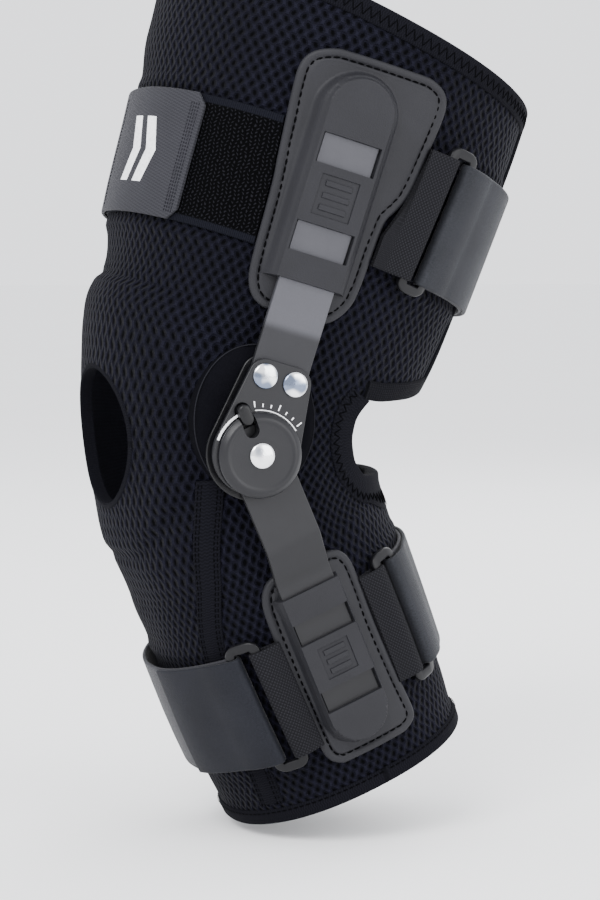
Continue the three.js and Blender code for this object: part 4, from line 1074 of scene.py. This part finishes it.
def make_pocket(name, pocket, node, side):
    """The moulded skin: a stitched rim, a raised tunnel with two windows, and a square with ribs."""
    edges = [pocket.mouth, *sum(pocket.windows, ()), *pocket.square]
    fine = [e + d for e in edges for d in (-CRISP, CRISP)]
    near, far = pocket.square
    ribs = [near + (far - near) * share + d for share in RIB_SHARES for d in (-1.1, -0.9, 0.9, 1.1)]
    ends = np.array([0, 0.12, 0.3, 0.55, 0.9, 1.4, 2.0, 2.6, 3.0, 3.4, 3.8, 4.3])
    middle = np.arange(pocket.start + 5, pocket.start + pocket.length - 5, 1.2)
    round_end = np.arange(pocket.tip - pocket.tunnel_half - 2, pocket.tip + 2.4, 0.4)
    far_end = pocket.start + pocket.length - ends
    along = np.concatenate([pocket.start + ends, middle, round_end, fine, ribs, far_end])
    along = np.unique(np.round(along, 3))
    half = (far - near) / 2
    reach = 0.52 * BAR_WIDTH
    rib_end = 0.7 * half
    crisp = [half - CRISP, half + CRISP, rib_end - 0.1, rib_end + 0.1, reach - CRISP, reach + CRISP]
    half_wide, slope = pocket.tunnel_half, pocket.tunnel_slope
    rise = half_wide + slope * np.array([-1.1, -0.9, -0.7, -0.4, -0.15, 0.1, 0.35, 0.6, 0.8, 1.0, 1.15])
    inner = np.unique(np.round(np.concatenate([np.arange(0, half_wide - 2, 0.8), crisp, rise]), 3))

    def one_side(limit):
        """Sides from the middle line to the pocket's edge, which stands at the limit."""
        scale = np.minimum(1, (limit - 1.6) / inner[-1])
        start = inner[-1] * scale
        flange = start[:, None] + (limit - start)[:, None] * FLANGE_STEPS
        return np.concatenate([inner * scale[:, None], flange], 1)

    front, back = (one_side(pocket.reach(along, column)) for column in (1, 2))
    sides = np.concatenate([-back[:, :0:-1], front], 1) * pocket.front_way
    if pocket.front_way < 0:
        sides = sides[:, ::-1]
    places = np.broadcast_to(along[:, None], sides.shape)
    depth = distance_to(pocket.outline(), places, sides)
    depth[0, :] = depth[-1, :] = depth[:, 0] = depth[:, -1] = 0
    depth = np.maximum(depth, 0)
    edge = BASE_THICK * (0.45 + 0.55 * np.sqrt(1 - (1 - np.minimum(depth / 1.3, 1)) ** 2))
    edge -= 0.9 * soft_ridge(depth, SEAM_IN, 0.6)
    edge -= 0.35 * smooth_step(3.6, 5.0, depth)
    flange = pocket.frame.on_sleeve(places, sides, GAP + edge)
    inside = capsule_distance(places, sides, pocket.tip, pocket.tunnel_half)
    rise = 0.82 * smooth_step(-slope, slope * 0.4, inside)
    rise = rise + 0.18 * smooth_step(slope * 0.5, slope * 1.1, inside)
    rise = rise * (places >= pocket.mouth - 0.05)
    bar_face = pocket.bar_out(places) + BAR_THICKNESS
    roof = bar_face + GAP + TUNNEL_WALL - 0.2 * (sides / 11) ** 2
    roof = roof - 0.7 * smooth_step(pocket.tip - 14, pocket.tip, places)
    out = flange[..., 0] + (roof - flange[..., 0]) * rise
    in_square = (np.abs(sides) < half) & (places > near) & (places < far)
    share = (places - near) / (far - near)
    on_rib = np.zeros(places.shape, bool)
    for middle_share in RIB_SHARES:
        on_rib |= np.abs(share - middle_share) * (far - near) < RIB_HALF
    on_rib &= np.abs(sides) < rib_end
    out = np.where(in_square & ~on_rib, out - 0.5, out)
    for low, high in pocket.windows:
        cut = (places > low) & (places < high) & (np.abs(sides) < reach)
        out = np.where(cut, bar_face - 0.8, out)
    lifted = pocket.frame.at(places, sides, out)
    share = rise[..., None]
    top = flange * (1 - share) + lifted * share
    bottom = pocket.frame.on_sleeve(places, sides, GAP)
    weave = np.stack([places, sides], -1)
    slab(name, bottom, top, POCKET, "pocket_rubber", weave, side=side, stands_for=[node], edge_angle=50)
    seam = inset(pocket.outline(0.6), SEAM_IN)
    line = pocket.frame.on_sleeve(seam[:, 0], seam[:, 1], GAP + BASE_THICK - 0.8)
    ahead = pocket.frame.on_sleeve(seam[:, 0], seam[:, 1], GAP + BASE_THICK + 0.2)
    bodies = stitch_line(line, ahead - line, SEAM_PITCH, 2.6, 0.95, 0.5)
    bodies += stitch_line(line, ahead - line, SEAM_PITCH, 0.6, 2.0, 0.4)
    joined(name + "_stitches", bodies, BLACK_THREAD, "pocket_rubber", side=side)


def inset(outline, depth):
    """The outline moved inwards, closed, without the places that come nearer to it elsewhere."""
    ways = unit(np.roll(outline, -1, 0) - np.roll(outline, 1, 0))
    normals = np.stack([-ways[:, 1], ways[:, 0]], -1)
    if distance_to(outline, *(outline[0] + normals[0] * 0.5)) < 0:
        normals = -normals
    moved = outline + normals * depth
    kept = moved[distance_to(outline, *moved.T) > depth - 0.12]
    return softened(np.concatenate([kept, kept[:1]]), 2)


def smooth_ribbon(name, path, low, high, thick, finish, slot, turn=0.0, way=1, start=None, trim=None,
                  shift=None, **more):
    """A strap along a path of (length round the leg from turn, lift of its middle), as wide as from low
    to high. start gives, for a run along the leg, the angle where the strap's first end stands; trim
    narrows it and shift slants it, for each place of the path."""
    middle = (low + high) / 2
    scale = float(reach_round(turn, middle))
    path = np.asarray(path, float)
    ahead = np.concatenate([path[1:], path[-1:]])
    behind = np.concatenate([path[:1], path[:-1]])
    ways = unit(ahead - behind)
    normals = np.stack([-ways[:, 1], ways[:, 0]], -1)
    shares = np.array([0, 0.006, 0.02, 0.25, 0.5, 0.75, 0.98, 0.994, 1.0])
    body = np.array([0.45, 0.85, 1, 1, 1, 1, 1, 0.85, 0.45])
    across = np.concatenate([shares, shares[::-1]])
    offset = np.concatenate([body, -body[::-1]]) * thick / 2
    inset_by = np.zeros(len(path)) if trim is None else np.asarray(trim, float)
    v = low + inset_by[:, None] + (high - low - 2 * inset_by[:, None]) * across
    along = path[:, :1] + normals[:, :1] * offset
    lift = path[:, 1:] + normals[:, 1:] * offset
    if shift is not None:
        along = along + shift[:, None] * (v - middle) / (high - low) * 2
    if start is not None:
        first, join = path[0, 0], start[1]
        begin = (start[0](v) - turn) * scale * way
        stretch = (join - begin) / (join - first)
        along = np.where(along < join, join - (join - along) * stretch, along)
    u = turn + way * along / scale
    runs = np.concatenate([[0], np.cumsum(np.linalg.norm(np.diff(path, axis=0), axis=1))])
    runs = runs - runs[path[:, 0].argmin()]
    weave = np.stack([np.broadcast_to(runs[:, None], v.shape), v], -1)
    rings = on_sleeve(u, v, lift)
    return tube(name, rings, finish, slot, weave=weave, edge_angle=60, **more)


def dense(path, pitch=1.2):
    """The path with places added so that no run is longer than the pitch."""
    out = [path[0]]
    for here, ahead in zip(path, path[1:]):
        steps = max(1, int(math.dist(here, ahead) / pitch))
        out += [np.asarray(here) + (np.asarray(ahead) - here) * (k + 1) / steps for k in range(steps)]
    return np.array(out)


BUCKLE_HALF, BUCKLE_BAR, BUCKLE_THICK = 6.3, 2.8, 2.4

# How far a strap ends from the pocket's edge
EDGE_ROOM = 0.5


def strap_set(prefix, pocket, back, way, low, high, base, pocket_turn, buckle_turn, doubled_to, end,
              slant=0.0, stand=0.0):
    """Webbing from under the pocket's edge, a buckle, and the strap that runs on round the leg. The
    turns are degrees round the leg: of the webbing's end, the buckle, the end of the doubled part and
    the strap's far end. base is the lift of the lowest layer, slant the skew of the doubled end and
    stand how far the strap stands off the leg between its ends."""
    middle = (low + high) / 2
    buckle_turn = math.radians(buckle_turn)
    scale = float(reach_round(buckle_turn, middle))
    bar_low = base + STRAP_THICK + GAP
    bar_high = bar_low + BUCKLE_THICK
    inner = BUCKLE_HALF - BUCKLE_BAR
    pocket_at = way * (math.radians(pocket_turn) - buckle_turn) * scale
    web_top = bar_high + GAP + WEB_THICK / 2
    web_path = [(pocket_at, base + 1.55 * WEB_THICK), (-BUCKLE_HALF - 7, base + 1.6 * WEB_THICK),
                (-BUCKLE_HALF - 1.0, web_top - 0.5), (-BUCKLE_HALF + 0.5, web_top), (-inner - 0.6, web_top),
                (-inner + 1.1, web_top - 0.5), (-inner + 1.1, base + 0.5 * WEB_THICK),
                (-inner - 3, base + 0.5 * WEB_THICK), (pocket_at, base + 0.5 * WEB_THICK)]

    def pocket_edge(v):
        return pocket.edge_turn(v, back) + way * EDGE_ROOM / scale

    smooth_ribbon(f"{prefix}_band", dense(softened(web_path, 3)), low, high, WEB_THICK, WEBBING, "webbing",
                  buckle_turn, way, start=(pocket_edge, -BUCKLE_HALF - 7), stands_for=[f"{prefix}_webbing"])
    top = bar_high + GAP + STRAP_THICK / 2
    far = way * (math.radians(end) - buckle_turn) * scale
    doubled = way * (math.radians(doubled_to) - buckle_turn) * scale
    under, over = base + STRAP_THICK / 2, base + 1.5 * STRAP_THICK + 0.06
    strap_path = [(far, under), (inner + 4, under), (inner - 1.2, under), (inner - 1.2, top - 0.2),
                  (inner + 0.6, top), (BUCKLE_HALF - 0.3, top), (BUCKLE_HALF + 7, (top + over) / 2 + 0.5),
                  (BUCKLE_HALF + 15, over), (doubled - 6, over), (doubled, over)]
    path = dense(softened(strap_path, 3), 1.6)
    over_layer = np.arange(len(path)) > path[:, 0].argmin() + len(path) // 2
    trim = np.maximum(0, path[:, 0] - (doubled - 5)) * 0.8 * over_layer
    off_buckle = smooth_step(inner + 8, inner + 45, path[:, 0])
    off_end = smooth_step(far - 8, far - 45, path[:, 0])
    path[:, 1] += stand * off_buckle * off_end
    shift = slant * smooth_step(doubled - 25, doubled - 5, path[:, 0]) * over_layer
    smooth_ribbon(f"{prefix}_band_far", path, low, high, STRAP_THICK, SHEEN_REAR_STRAP if back else STRAP,
                  "strap", buckle_turn, way, trim=trim, shift=shift, stands_for=[f"{prefix}_strap"])
    make_buckle(f"{prefix}_ring", buckle_turn, way, low, high, bar_low, bar_high, scale, f"{prefix}_buckle")


def make_buckle(name, turn, way, low, high, bar_low, bar_high, scale, node):
    """A flat ring with a rounded tab past each edge of the strap and one long slot."""
    past = np.array([4.7, 4.55, 4.1, 3.3, 2.2, 1.0, 0.0])
    width = np.array([0.34, 0.50, 0.68, 0.84, 0.96, 1.0, 1.0])
    inside = np.linspace(0, 1, 9)[1:-1]
    out_v = np.concatenate([low - past, low + (high - low) * inside, high + past[::-1]])
    out_half = np.concatenate([width, np.ones(7), width[::-1]]) * BUCKLE_HALF
    count = len(out_v)
    t = np.linspace(0, 1, count)
    in_v = low - 0.9 + (high - low + 1.8) * t
    in_half = (BUCKLE_HALF - BUCKLE_BAR) * np.minimum(1, 0.78 + np.minimum(t, 1 - t) * 5)
    outer = np.concatenate([np.stack([out_half, out_v], -1), np.stack([-out_half, out_v], -1)[::-1]])
    inner = np.concatenate([np.stack([in_half, in_v], -1), np.stack([-in_half, in_v], -1)[::-1]])
    ways = unit(inner - outer)
    rings = []
    for place, move, lift in (
            (outer, 0, bar_low + 0.4), (outer, 0, bar_high - 0.7), (outer, 0.25, bar_high - 0.2),
            (outer, 0.75, bar_high), (inner, -0.6, bar_high), (inner, -0.15, bar_high - 0.2),
            (inner, 0, bar_high - 0.6), (inner, 0, bar_low + 0.3), (inner, -0.4, bar_low),
            (outer, 0.5, bar_low)):
        flat = place + ways * move
        rings.append(on_sleeve(turn + way * flat[:, 0] / scale, flat[:, 1], np.full(len(flat), lift)))
    tube(name, np.stack(rings, 1), BUCKLE, "buckle_plastic", ring=True, stands_for=[node], edge_angle=50)


def make_loop_patch():
    """Loop pile from the inner side round the front to the outer pocket's edge."""
    under, over = GAP, GAP + 1.2
    v = THIGH_STRAP_LOW + THIGH_STRAP_WIDTH * np.array([0, 0.008, 0.03, 0.3, 0.6, 0.97, 0.992, 1])
    edge = np.array([0.35, 0.8, 1, 1, 1, 1, 0.8, 0.35])
    t = np.linspace(0, 1, 90)[:, None]
    first = math.radians(-122)
    last = UPPER_POCKET.edge_turn(v, False) - EDGE_ROOM / THIGH_RADIUS
    u = first + (last - first) * t
    v = np.broadcast_to(v, u.shape)
    low = on_sleeve(u, v, np.full(u.shape, under))
    high = on_sleeve(u, v, under + (over - under) * np.broadcast_to(edge, u.shape))
    weave = np.stack([u * THIGH_RADIUS, v], -1)
    slab("loop_pile_patch", low, high, PILE, "loop_pile", weave, stands_for=["thigh_loop_patch"])


FRONT_UNDER = 2 * GAP + 1.2
FRONT_OVER = FRONT_UNDER + STRAP_THICK


def make_front_strap():
    """The strap round the front of the thigh, with its tab's cut corners and sewn end."""
    turn = math.radians(-54)
    scale = float(reach_round(turn, (THIGH_STRAP_LOW + THIGH_STRAP_HIGH) / 2))
    middle = (FRONT_UNDER + FRONT_OVER) / 2
    first = math.radians(-54 + 166) * scale
    path = dense([(-first, middle), (0, middle), (math.radians(3) * scale, middle)], 1.5)
    trim = np.maximum(0, path[:, 0]) * 1.1

    def inner_edge(v):
        return -math.pi - UPPER_POCKET.edge_turn(v, False) + EDGE_ROOM / THIGH_RADIUS

    smooth_ribbon("front_tab", path, THIGH_STRAP_LOW, THIGH_STRAP_HIGH, STRAP_THICK, TAB, "strap", turn, 1,
                  start=(inner_edge, -first + 12), trim=trim, stands_for=["thigh_front_strap"])
    bodies = []
    for first_turn in (-52.7, -53.6, -54.5, -55.4, -98.0, -99.0):
        v = np.linspace(THIGH_STRAP_LOW + 3, THIGH_STRAP_HIGH - 3, 60)
        u = np.full(60, math.radians(first_turn))
        line = on_sleeve(u, v, np.full(60, FRONT_OVER + 0.02))
        bodies += stitch_line(line, outward(u, v), 1.35, 0.95, 0.5, 0.22)
    joined("front_tab_stitches", bodies, GREY_THREAD, "strap")


def print_quads(name, quads, turn, run, lift):
    """Flat printed shapes on a strap: each a list of four corners (round the leg, along it)."""
    parts = 8
    bodies = []
    s, t = np.meshgrid(np.linspace(0, 1, parts), np.linspace(0, 1, parts))
    for quad in quads:
        a, b, c, d = (np.array(corner) for corner in quad)
        flat = ((1 - s)[..., None] * ((1 - t)[..., None] * a + t[..., None] * d)
                + s[..., None] * ((1 - t)[..., None] * b + t[..., None] * c))
        u, v = turn + flat[..., 0] / THIGH_RADIUS, run + flat[..., 1]
        both = [on_sleeve(u, v, np.full(s.shape, lift + rise)).reshape(-1, 3) for rise in (-0.2, 0.05)]
        bodies.append((np.concatenate(both), slab_faces(parts, parts)))
    joined(name, bodies, PRINT, "strap")


def make_stay_channel(side, label):
    """Smooth tape over a stay, sewn down along both edges."""
    runs = np.array([-0.94, -0.80, -0.44, -0.20, -0.11, -0.03]) * CALF_LENGTH
    turns = np.radians([-50, -48, -44, -31, -26, -23])
    v = np.linspace(runs[0], runs[-1], 90)[:, None]
    middle = curve_through(runs, turns, v)
    across = np.array([-5.5, -5.3, -4.6, -3.6, -2.4, 0, 2.4, 3.6, 4.6, 5.3, 5.5])
    height = np.array([0.3, 0.7, 0.85, 0.6, 1.0, 1.15, 1.0, 0.6, 0.85, 0.7, 0.3])
    u = middle + across / reach_round(middle, v)
    v = np.broadcast_to(v, u.shape)
    low = on_sleeve(u, v, np.full(u.shape, 0.1))
    high = on_sleeve(u, v, 0.1 + np.broadcast_to(height, u.shape))
    weave = np.stack([np.broadcast_to(across, u.shape), v], -1)
    slab(f"{label}_stay_tape", low, high, SMOOTH_KNIT, "edge_tape", weave, side=side,
         stands_for=[f"{label}_stay_channel"])
    bodies = []
    for offset in (-4.4, -3.0, 3.0, 4.4):
        line_u = (middle + offset / reach_round(middle, v[:, :1]))[:, 0]
        line = on_sleeve(line_u, v[:, 0], np.full(len(v), 0.85))
        bodies += stitch_line(line, outward(line_u, v[:, 0]), 2.2, 1.6, 0.5, 0.3)
    joined(f"{label}_stay_stitches", bodies, BLACK_THREAD, "edge_tape", side=side)


# The hinge
def lathe(name, frame, along, side_at, rows, finish, slot, count=72, **more):
    """A round body beside the pivot: rows of (radius, out)."""
    angles = np.linspace(0, 2 * math.pi, count, endpoint=False)
    rings = [frame.at(along + radius * np.cos(angles), side_at + radius * np.sin(angles), out)
             for radius, out in rows]
    return tube(name, rings, finish, slot, **more)


def plate_outline(disc, bulge, corner_radius):
    """A disc with two corners round the rivets above it; bulge is the disc's radius towards the front."""
    spot = math.hypot(RIVET_ALONG, RIVET_ASIDE)
    slopes = [math.atan2(RIVET_ASIDE, RIVET_ALONG) + math.acos((radius - corner_radius) / spot)
              for radius in (bulge, disc)]
    points = []
    for along, aside, corner_or_disc, start, end, count in (
            (RIVET_ALONG, RIVET_ASIDE, corner_radius, 0, slopes[0], 16),
            (0, 0, None, slopes[0], 2 * math.pi - slopes[1], 70),
            (RIVET_ALONG, -RIVET_ASIDE, corner_radius, 2 * math.pi - slopes[1], 2 * math.pi, 16)):
        angles = np.linspace(start, end, count)
        radius = corner_or_disc or bulge + (disc - bulge) * smooth_step(1.7, 3.3, angles)
        points.append(np.stack([along + radius * np.cos(angles), aside + radius * np.sin(angles)], -1))
    return np.concatenate(points)


def make_plate(name, disc, bulge, corner_radius, low, high, finish, node, side):
    """A flat plate of that outline between two distances out of the leg's side."""
    outline = plate_outline(disc, bulge, corner_radius)
    rings = [UPPER.at(outline[:, 0], outline[:, 1], out) for out in (low, high)]
    return tube(name, rings, finish, "hinge_plastic", side=side, stands_for=[node])


# The lock lever: the line that it slides on, its size, and where it rests and how far it slides
LEVER = UPPER.turned(math.radians(38))
LEVER_WIDTH, LEVER_LENGTH, LEVER_REST, LEVER_TRAVEL = 4.8, 8.0, 1.02 * HINGE_RADIUS, 4.5


def capsule_outline(width, start, end):
    """A strip with two round ends."""
    radius = width / 2
    right = np.linspace(-math.pi / 2, math.pi / 2, 14)
    left = np.linspace(math.pi / 2, 1.5 * math.pi, 14)
    return np.concatenate([np.stack([middle + radius * np.cos(turns), radius * np.sin(turns)], -1)
                           for middle, turns in ((end - radius, right), (start + radius, left))])


def capsule_body(name, layers, finish, start, end, width, **more):
    """A long round-ended body on the lever's line: layers of (shrink, out)."""
    rings = []
    for shrink, out in layers:
        outline = capsule_outline(width - 2 * shrink, start + shrink, end - shrink)
        rings.append(LEVER.at(outline[:, 0], outline[:, 1], out))
    return tube(name, rings, finish, "hinge_plastic", **more)


def cut_slot(piece, side):
    """Cuts the lever's slot, as long as its travel needs."""
    start = LEVER_REST - LEVER_LENGTH / 2 - LEVER_TRAVEL - GAP
    end = LEVER_REST + LEVER_LENGTH / 2 + GAP
    cutter = capsule_body("slot_cutter", [(0, HEAD_PLATE[0] - 1), (0, CAP_LAYER[1] + 1)], PLASTIC,
                          start, end, LEVER_WIDTH + 2 * GAP, side=side)
    cut_out(piece, cutter)


def make_lever(side, label):
    top = CAP_LAYER[1] + 0.6
    layers = [(0, HEAD_PLATE[0] + 0.1), (0, top - 0.9), (0.12, top - 0.5), (0.4, top - 0.2),
              (0.8, top - 0.05), (1.3, top)]
    capsule_body(f"{label}_lever", layers, LEVER_PLASTIC, LEVER_REST - LEVER_LENGTH / 2,
                 LEVER_REST + LEVER_LENGTH / 2, LEVER_WIDTH, side=side, body=f"{label}_lever",
                 stands_for=[f"{label}_lock_lever"])


def make_rivet(name, along, aside, seat, node, side):
    radius, foot = RIVET_RADIUS, seat + GAP
    rows = [(radius - 0.2, foot - 0.3), (radius, foot), (radius, foot + 0.35)]
    for angle in np.radians(np.linspace(12, 84, 9)):
        rows.append((radius * math.cos(angle), foot + 0.35 + 1.2 * math.sin(angle)))
    lathe(name, UPPER, along, aside, rows, CHROME, "rivet_chrome", 48, side=side, stands_for=[node])


def make_hinge(side, label):
    behind = make_plate(f"{label}_plate_behind", 1.1 * HINGE_RADIUS, 1.18 * HINGE_RADIUS, 1.2 * HEAD_CORNER,
                        *BACK_PLATE, LEVER_PLASTIC, f"{label}_back_plate", side)
    head = make_plate(f"{label}_plate_head", 0.97 * HINGE_RADIUS, 1.12 * HINGE_RADIUS, HEAD_CORNER,
                      *HEAD_PLATE, PLASTIC, f"{label}_head_plate", side)
    round_edges(behind, 0.35)
    low, high = CAP_LAYER
    rim = HINGE_RADIUS
    rows = [(rim - 0.25, low), (rim, low + 0.2), (rim, low + 1.0), (rim - 0.12, low + 1.3),
            (rim - 0.4, low + 1.6), (rim - 1.5, high - 0.45), (rim - 1.9, high - 0.2),
            (rim - 2.4, high - 0.04), (rim - 2.9, high), (rim - 3.4, high - 0.05), (rim - 3.7, high - 0.16),
            (rim - 4.3, high - 0.2), (rim - 8, high - 0.2), (1.0, high - 0.2)]
    cap = lathe(f"{label}_cap", UPPER, 0, 0, rows, PLASTIC, "hinge_plastic", 96, side=side,
                stands_for=[f"{label}_hinge_cap"])
    for piece in (head, cap):
        cut_slot(piece, side)
        round_edges(piece, 0.3)
    make_lever(side, label)
    for place, along, aside, seat in (("pivot", 0, 0, CAP_LAYER[1] - 0.2),
                                      ("front", RIVET_ALONG, RIVET_ASIDE, HEAD_PLATE[1] - 0.3),
                                      ("back", RIVET_ALONG, -RIVET_ASIDE, HEAD_PLATE[1] - 0.3)):
        make_rivet(f"{label}_rivet_{place}", along, aside, seat, f"{label}_{place}_rivet", side)


def arc_print(radius, width, start, end, out, count=40):
    """A printed arc on the head plate: points and faces."""
    angles = np.radians(np.linspace(start, end, count))
    rings = []
    for angle in angles:
        rings.append([UPPER.at(r * math.cos(angle), r * math.sin(angle), o) for r, o in (
            (radius - width / 2, out - 0.2), (radius + width / 2, out - 0.2),
            (radius + width / 2, out + 0.06), (radius - width / 2, out + 0.06))])
    return np.array(rings), tube_faces(count, 4)


def make_hinge_print(side, label):
    """A broad arc, a fine one and seven ticks, of which every third is longer."""
    out = HEAD_PLATE[1]
    bodies = [arc_print(HINGE_RADIUS + 1.0, 0.9, 46, 86, out),
              arc_print(HINGE_RADIUS + 0.7, 0.35, -42, 22, out)]
    for k in range(7):
        angle = -38 + 10 * k
        length = 2.2 if k % 3 == 0 else 1.2
        bodies.append(arc_print(HINGE_RADIUS + 1.9 + length / 2, length, angle - 0.7, angle + 0.7, out, 3))
    joined(f"{label}_scale_print", bodies, PRINT, "hinge_plastic", side=side)


PAD_BACK, PAD_UP, PAD_HALF_DEPTH, PAD_HALF_HEIGHT = 0.5, 17, 23, 28.5


def make_pad(side, label):
    """The oval pad: velour over foam, flat under the plate and rounded down to its edge."""
    angles = np.linspace(0, 2 * math.pi, 96, endpoint=False)
    y = PAD_BACK + PAD_HALF_DEPTH * np.sin(angles)
    z = PAD_UP - PAD_HALF_HEIGHT * np.cos(angles)
    rings = []

    def oval(share):
        return PAD_BACK + (y - PAD_BACK) * share, PAD_UP + (z - PAD_UP) * share

    for share, drop in ((0.02, 0), (0.35, 0), (0.62, 0), (0.74, 0.1), (0.82, 0.4), (0.88, 0.9), (0.93, 1.5),
                        (0.965, 2.2), (0.985, 2.8), (0.995, 3.3)):
        top = np.maximum(PAD_OUT - drop, beside_leg(*oval(share), 1.4)[:, 0])
        rings.append(np.stack([top, *oval(share)], -1))
    rings.append(beside_leg(y, z, 1.0))
    rings.append(beside_leg(y, z, GAP))
    for share in (0.7, 0.35, 0.02):
        rings.append(beside_leg(*oval(share), GAP))
    pad = tube(f"{label}_pad", rings, VELOUR, "velour", side=side, stands_for=[f"{label}_hinge_pad"])
    edge = beside_leg(*oval(0.99), 1.6)
    edge[:, 0] = np.maximum(edge[:, 0], PAD_OUT - 3.0)
    cord = 0.22
    ring = []
    for a in np.linspace(0, 2 * math.pi, 6, endpoint=False):
        grow = 1 + cord * math.cos(a) / 25
        ring.append(np.stack([edge[:, 0] + cord * math.sin(a), PAD_BACK + (edge[:, 1] - PAD_BACK) * grow,
                              PAD_UP + (edge[:, 2] - PAD_UP) * grow], -1))
    tube(f"{label}_pad_edge", np.stack(ring, 1), GREY_THREAD, "velour", ring=True, side=side)


def make_bar(name, frame, rows, finish, node, side, round_start):
    """A flat steel bar, bent where it leaves the hinge: rows of (along, out of its inner face). Its
    weave is the run past the middle of the bend."""
    path = softened(dense(rows, 4.0), 2)
    half = BAR_WIDTH / 2
    if round_start:
        turns = np.linspace(0.08, 0.5, 12) * math.pi
        ahead = path[0, 0] - half * np.cos(turns)
        path = np.concatenate([np.stack([ahead, np.full(12, path[0, 1])], -1), path[1:]])
        halves = np.concatenate([half * np.sin(turns), np.full(len(path) - 12, half)])
    else:
        halves = np.full(len(path), half)
    edge = 0.3
    rings = []
    for (along, out), wide in zip(path, halves):
        sides = np.array([edge - wide, wide - edge, wide, wide, wide - edge, edge - wide, -wide, -wide])
        rises = np.array([0, 0, edge, BAR_THICKNESS - edge, BAR_THICKNESS, BAR_THICKNESS,
                          BAR_THICKNESS - edge, edge])
        rings.append(frame.at(along, sides, rises + out))
    weave = np.zeros((len(rings), 8, 2))
    weave[:, :, 0] = path[:, :1] - (rows[1][0] + rows[2][0]) / 2
    tube(name, rings, finish, "bar_steel", side=side, weave=weave, stands_for=[node])


def bar_rows(pocket, start):
    """The bar's run: level in the hinge, bent, and straight to its end in the pocket."""
    return [(start, BAR_LAYER[0]), (pocket.bend_from, BAR_LAYER[0]), (pocket.bend_to, pocket.near_out),
            (pocket.end, pocket.far_out)]


make_loop_patch()
make_front_strap()
chevrons = []
for shift in (-8.5, 2.0):
    for way in (1, -1):
        chevrons.append([(shift, way * 12.5), (shift + 6.2, way * 12.5), (shift + 11, 0), (shift + 4.8, 0)])
print_quads("tab_chevrons", chevrons, math.radians(-76), (THIGH_STRAP_LOW + THIGH_STRAP_HIGH) / 2, FRONT_OVER)
strap_set("thigh_rear", UPPER_POCKET, True, 1, REAR_STRAP_LOW, REAR_STRAP_HIGH, 2.5 * GAP + 1,
          pocket_turn=8, buckle_turn=27.5, doubled_to=130, end=172)
strap_set("calf_front", LOWER_POCKET, False, -1, CALF_STRAP_LOW, CALF_STRAP_HIGH, 2 * GAP + 0.8,
          pocket_turn=-12, buckle_turn=-31, doubled_to=-77, end=-168, slant=-6, stand=2.2)
strap_set("calf_rear", LOWER_POCKET, True, 1, CALF_REAR_LOW, CALF_REAR_HIGH, GAP,
          pocket_turn=12, buckle_turn=35, doubled_to=125, end=166)
for side, label in ((1, "outer"), (-1, "inner")):
    make_stay_channel(side, label)
    make_pad(side, label)
    make_hinge(side, label)
    make_hinge_print(side, label)
    make_bar(f"{label}_bar_above", UPPER, bar_rows(UPPER_POCKET, 1.27 * HINGE_RADIUS), LIT_UPPER_STEEL,
             f"{label}_upper_bar", side, False)
    make_bar(f"{label}_bar_below", LOWER, bar_rows(LOWER_POCKET, 0), SHADED_LOWER_STEEL,
             f"{label}_lower_bar", side, True)
    make_pocket(f"{label}_pocket_above", UPPER_POCKET, f"{label}_upper_pocket", side)
    make_pocket(f"{label}_pocket_below", LOWER_POCKET, f"{label}_lower_pocket", side)


# The floor, the light and the camera
def make_floor():
    bpy.ops.mesh.primitive_plane_add(size=80, location=(0, 0, solids_box[0][2] - 0.002))
    floor = bpy.context.object
    floor.name = "floor"
    floor.data.materials.append(studio_floor())
    floor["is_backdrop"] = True


def make_light(name, place, size, power):
    """A square soft light that is aimed at the knee."""
    light = bpy.data.lights.new(name, "AREA")
    light.size = size
    light.energy = power
    lamp = bpy.data.objects.new(name, light)
    lamp.location = place
    lamp.rotation_euler = (-Vector(place)).to_track_quat("-Z", "Y").to_euler()
    bpy.context.scene.collection.objects.link(lamp)


def make_camera():
    """A camera beside the knee, moved a little in its own plane to frame the orthosis."""
    azimuth, elevation, distance = math.radians(72), math.radians(4), 1.0
    back = Vector((math.sin(azimuth) * math.cos(elevation), -math.cos(azimuth) * math.cos(elevation),
                   math.sin(elevation)))
    right = Vector((math.cos(azimuth), math.sin(azimuth), 0))
    up = back.cross(right)
    camera = bpy.data.objects.new("camera", bpy.data.cameras.new("camera"))
    camera.data.lens = 102
    camera.data.sensor_width = 36
    moved_right, moved_up = 0.0353, 0.00196
    camera.location = back * distance + right * moved_right + up * moved_up
    camera.rotation_euler = back.to_track_quat("Z", "Y").to_euler()
    bpy.context.scene.collection.objects.link(camera)
    bpy.context.scene.camera = camera


world = bpy.data.worlds.new("studio")
world.use_nodes = True
sky = world.node_tree.nodes["Background"]
sky.inputs["Color"].default_value = (0.95, 0.96, 1.0, 1)
sky.inputs["Strength"].default_value = 2.0
bpy.context.scene.world = world
make_floor()
make_light("key", (1.2, -1.0, 1.3), 1.0, 42)
make_light("fill", (1.3, 0.9, 0.5), 1.2, 16)
make_light("rim", (-0.9, 1.1, 1.0), 1.0, 14)
make_camera()

[[list(corner) for corner in box] for box in (solids_box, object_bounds())]
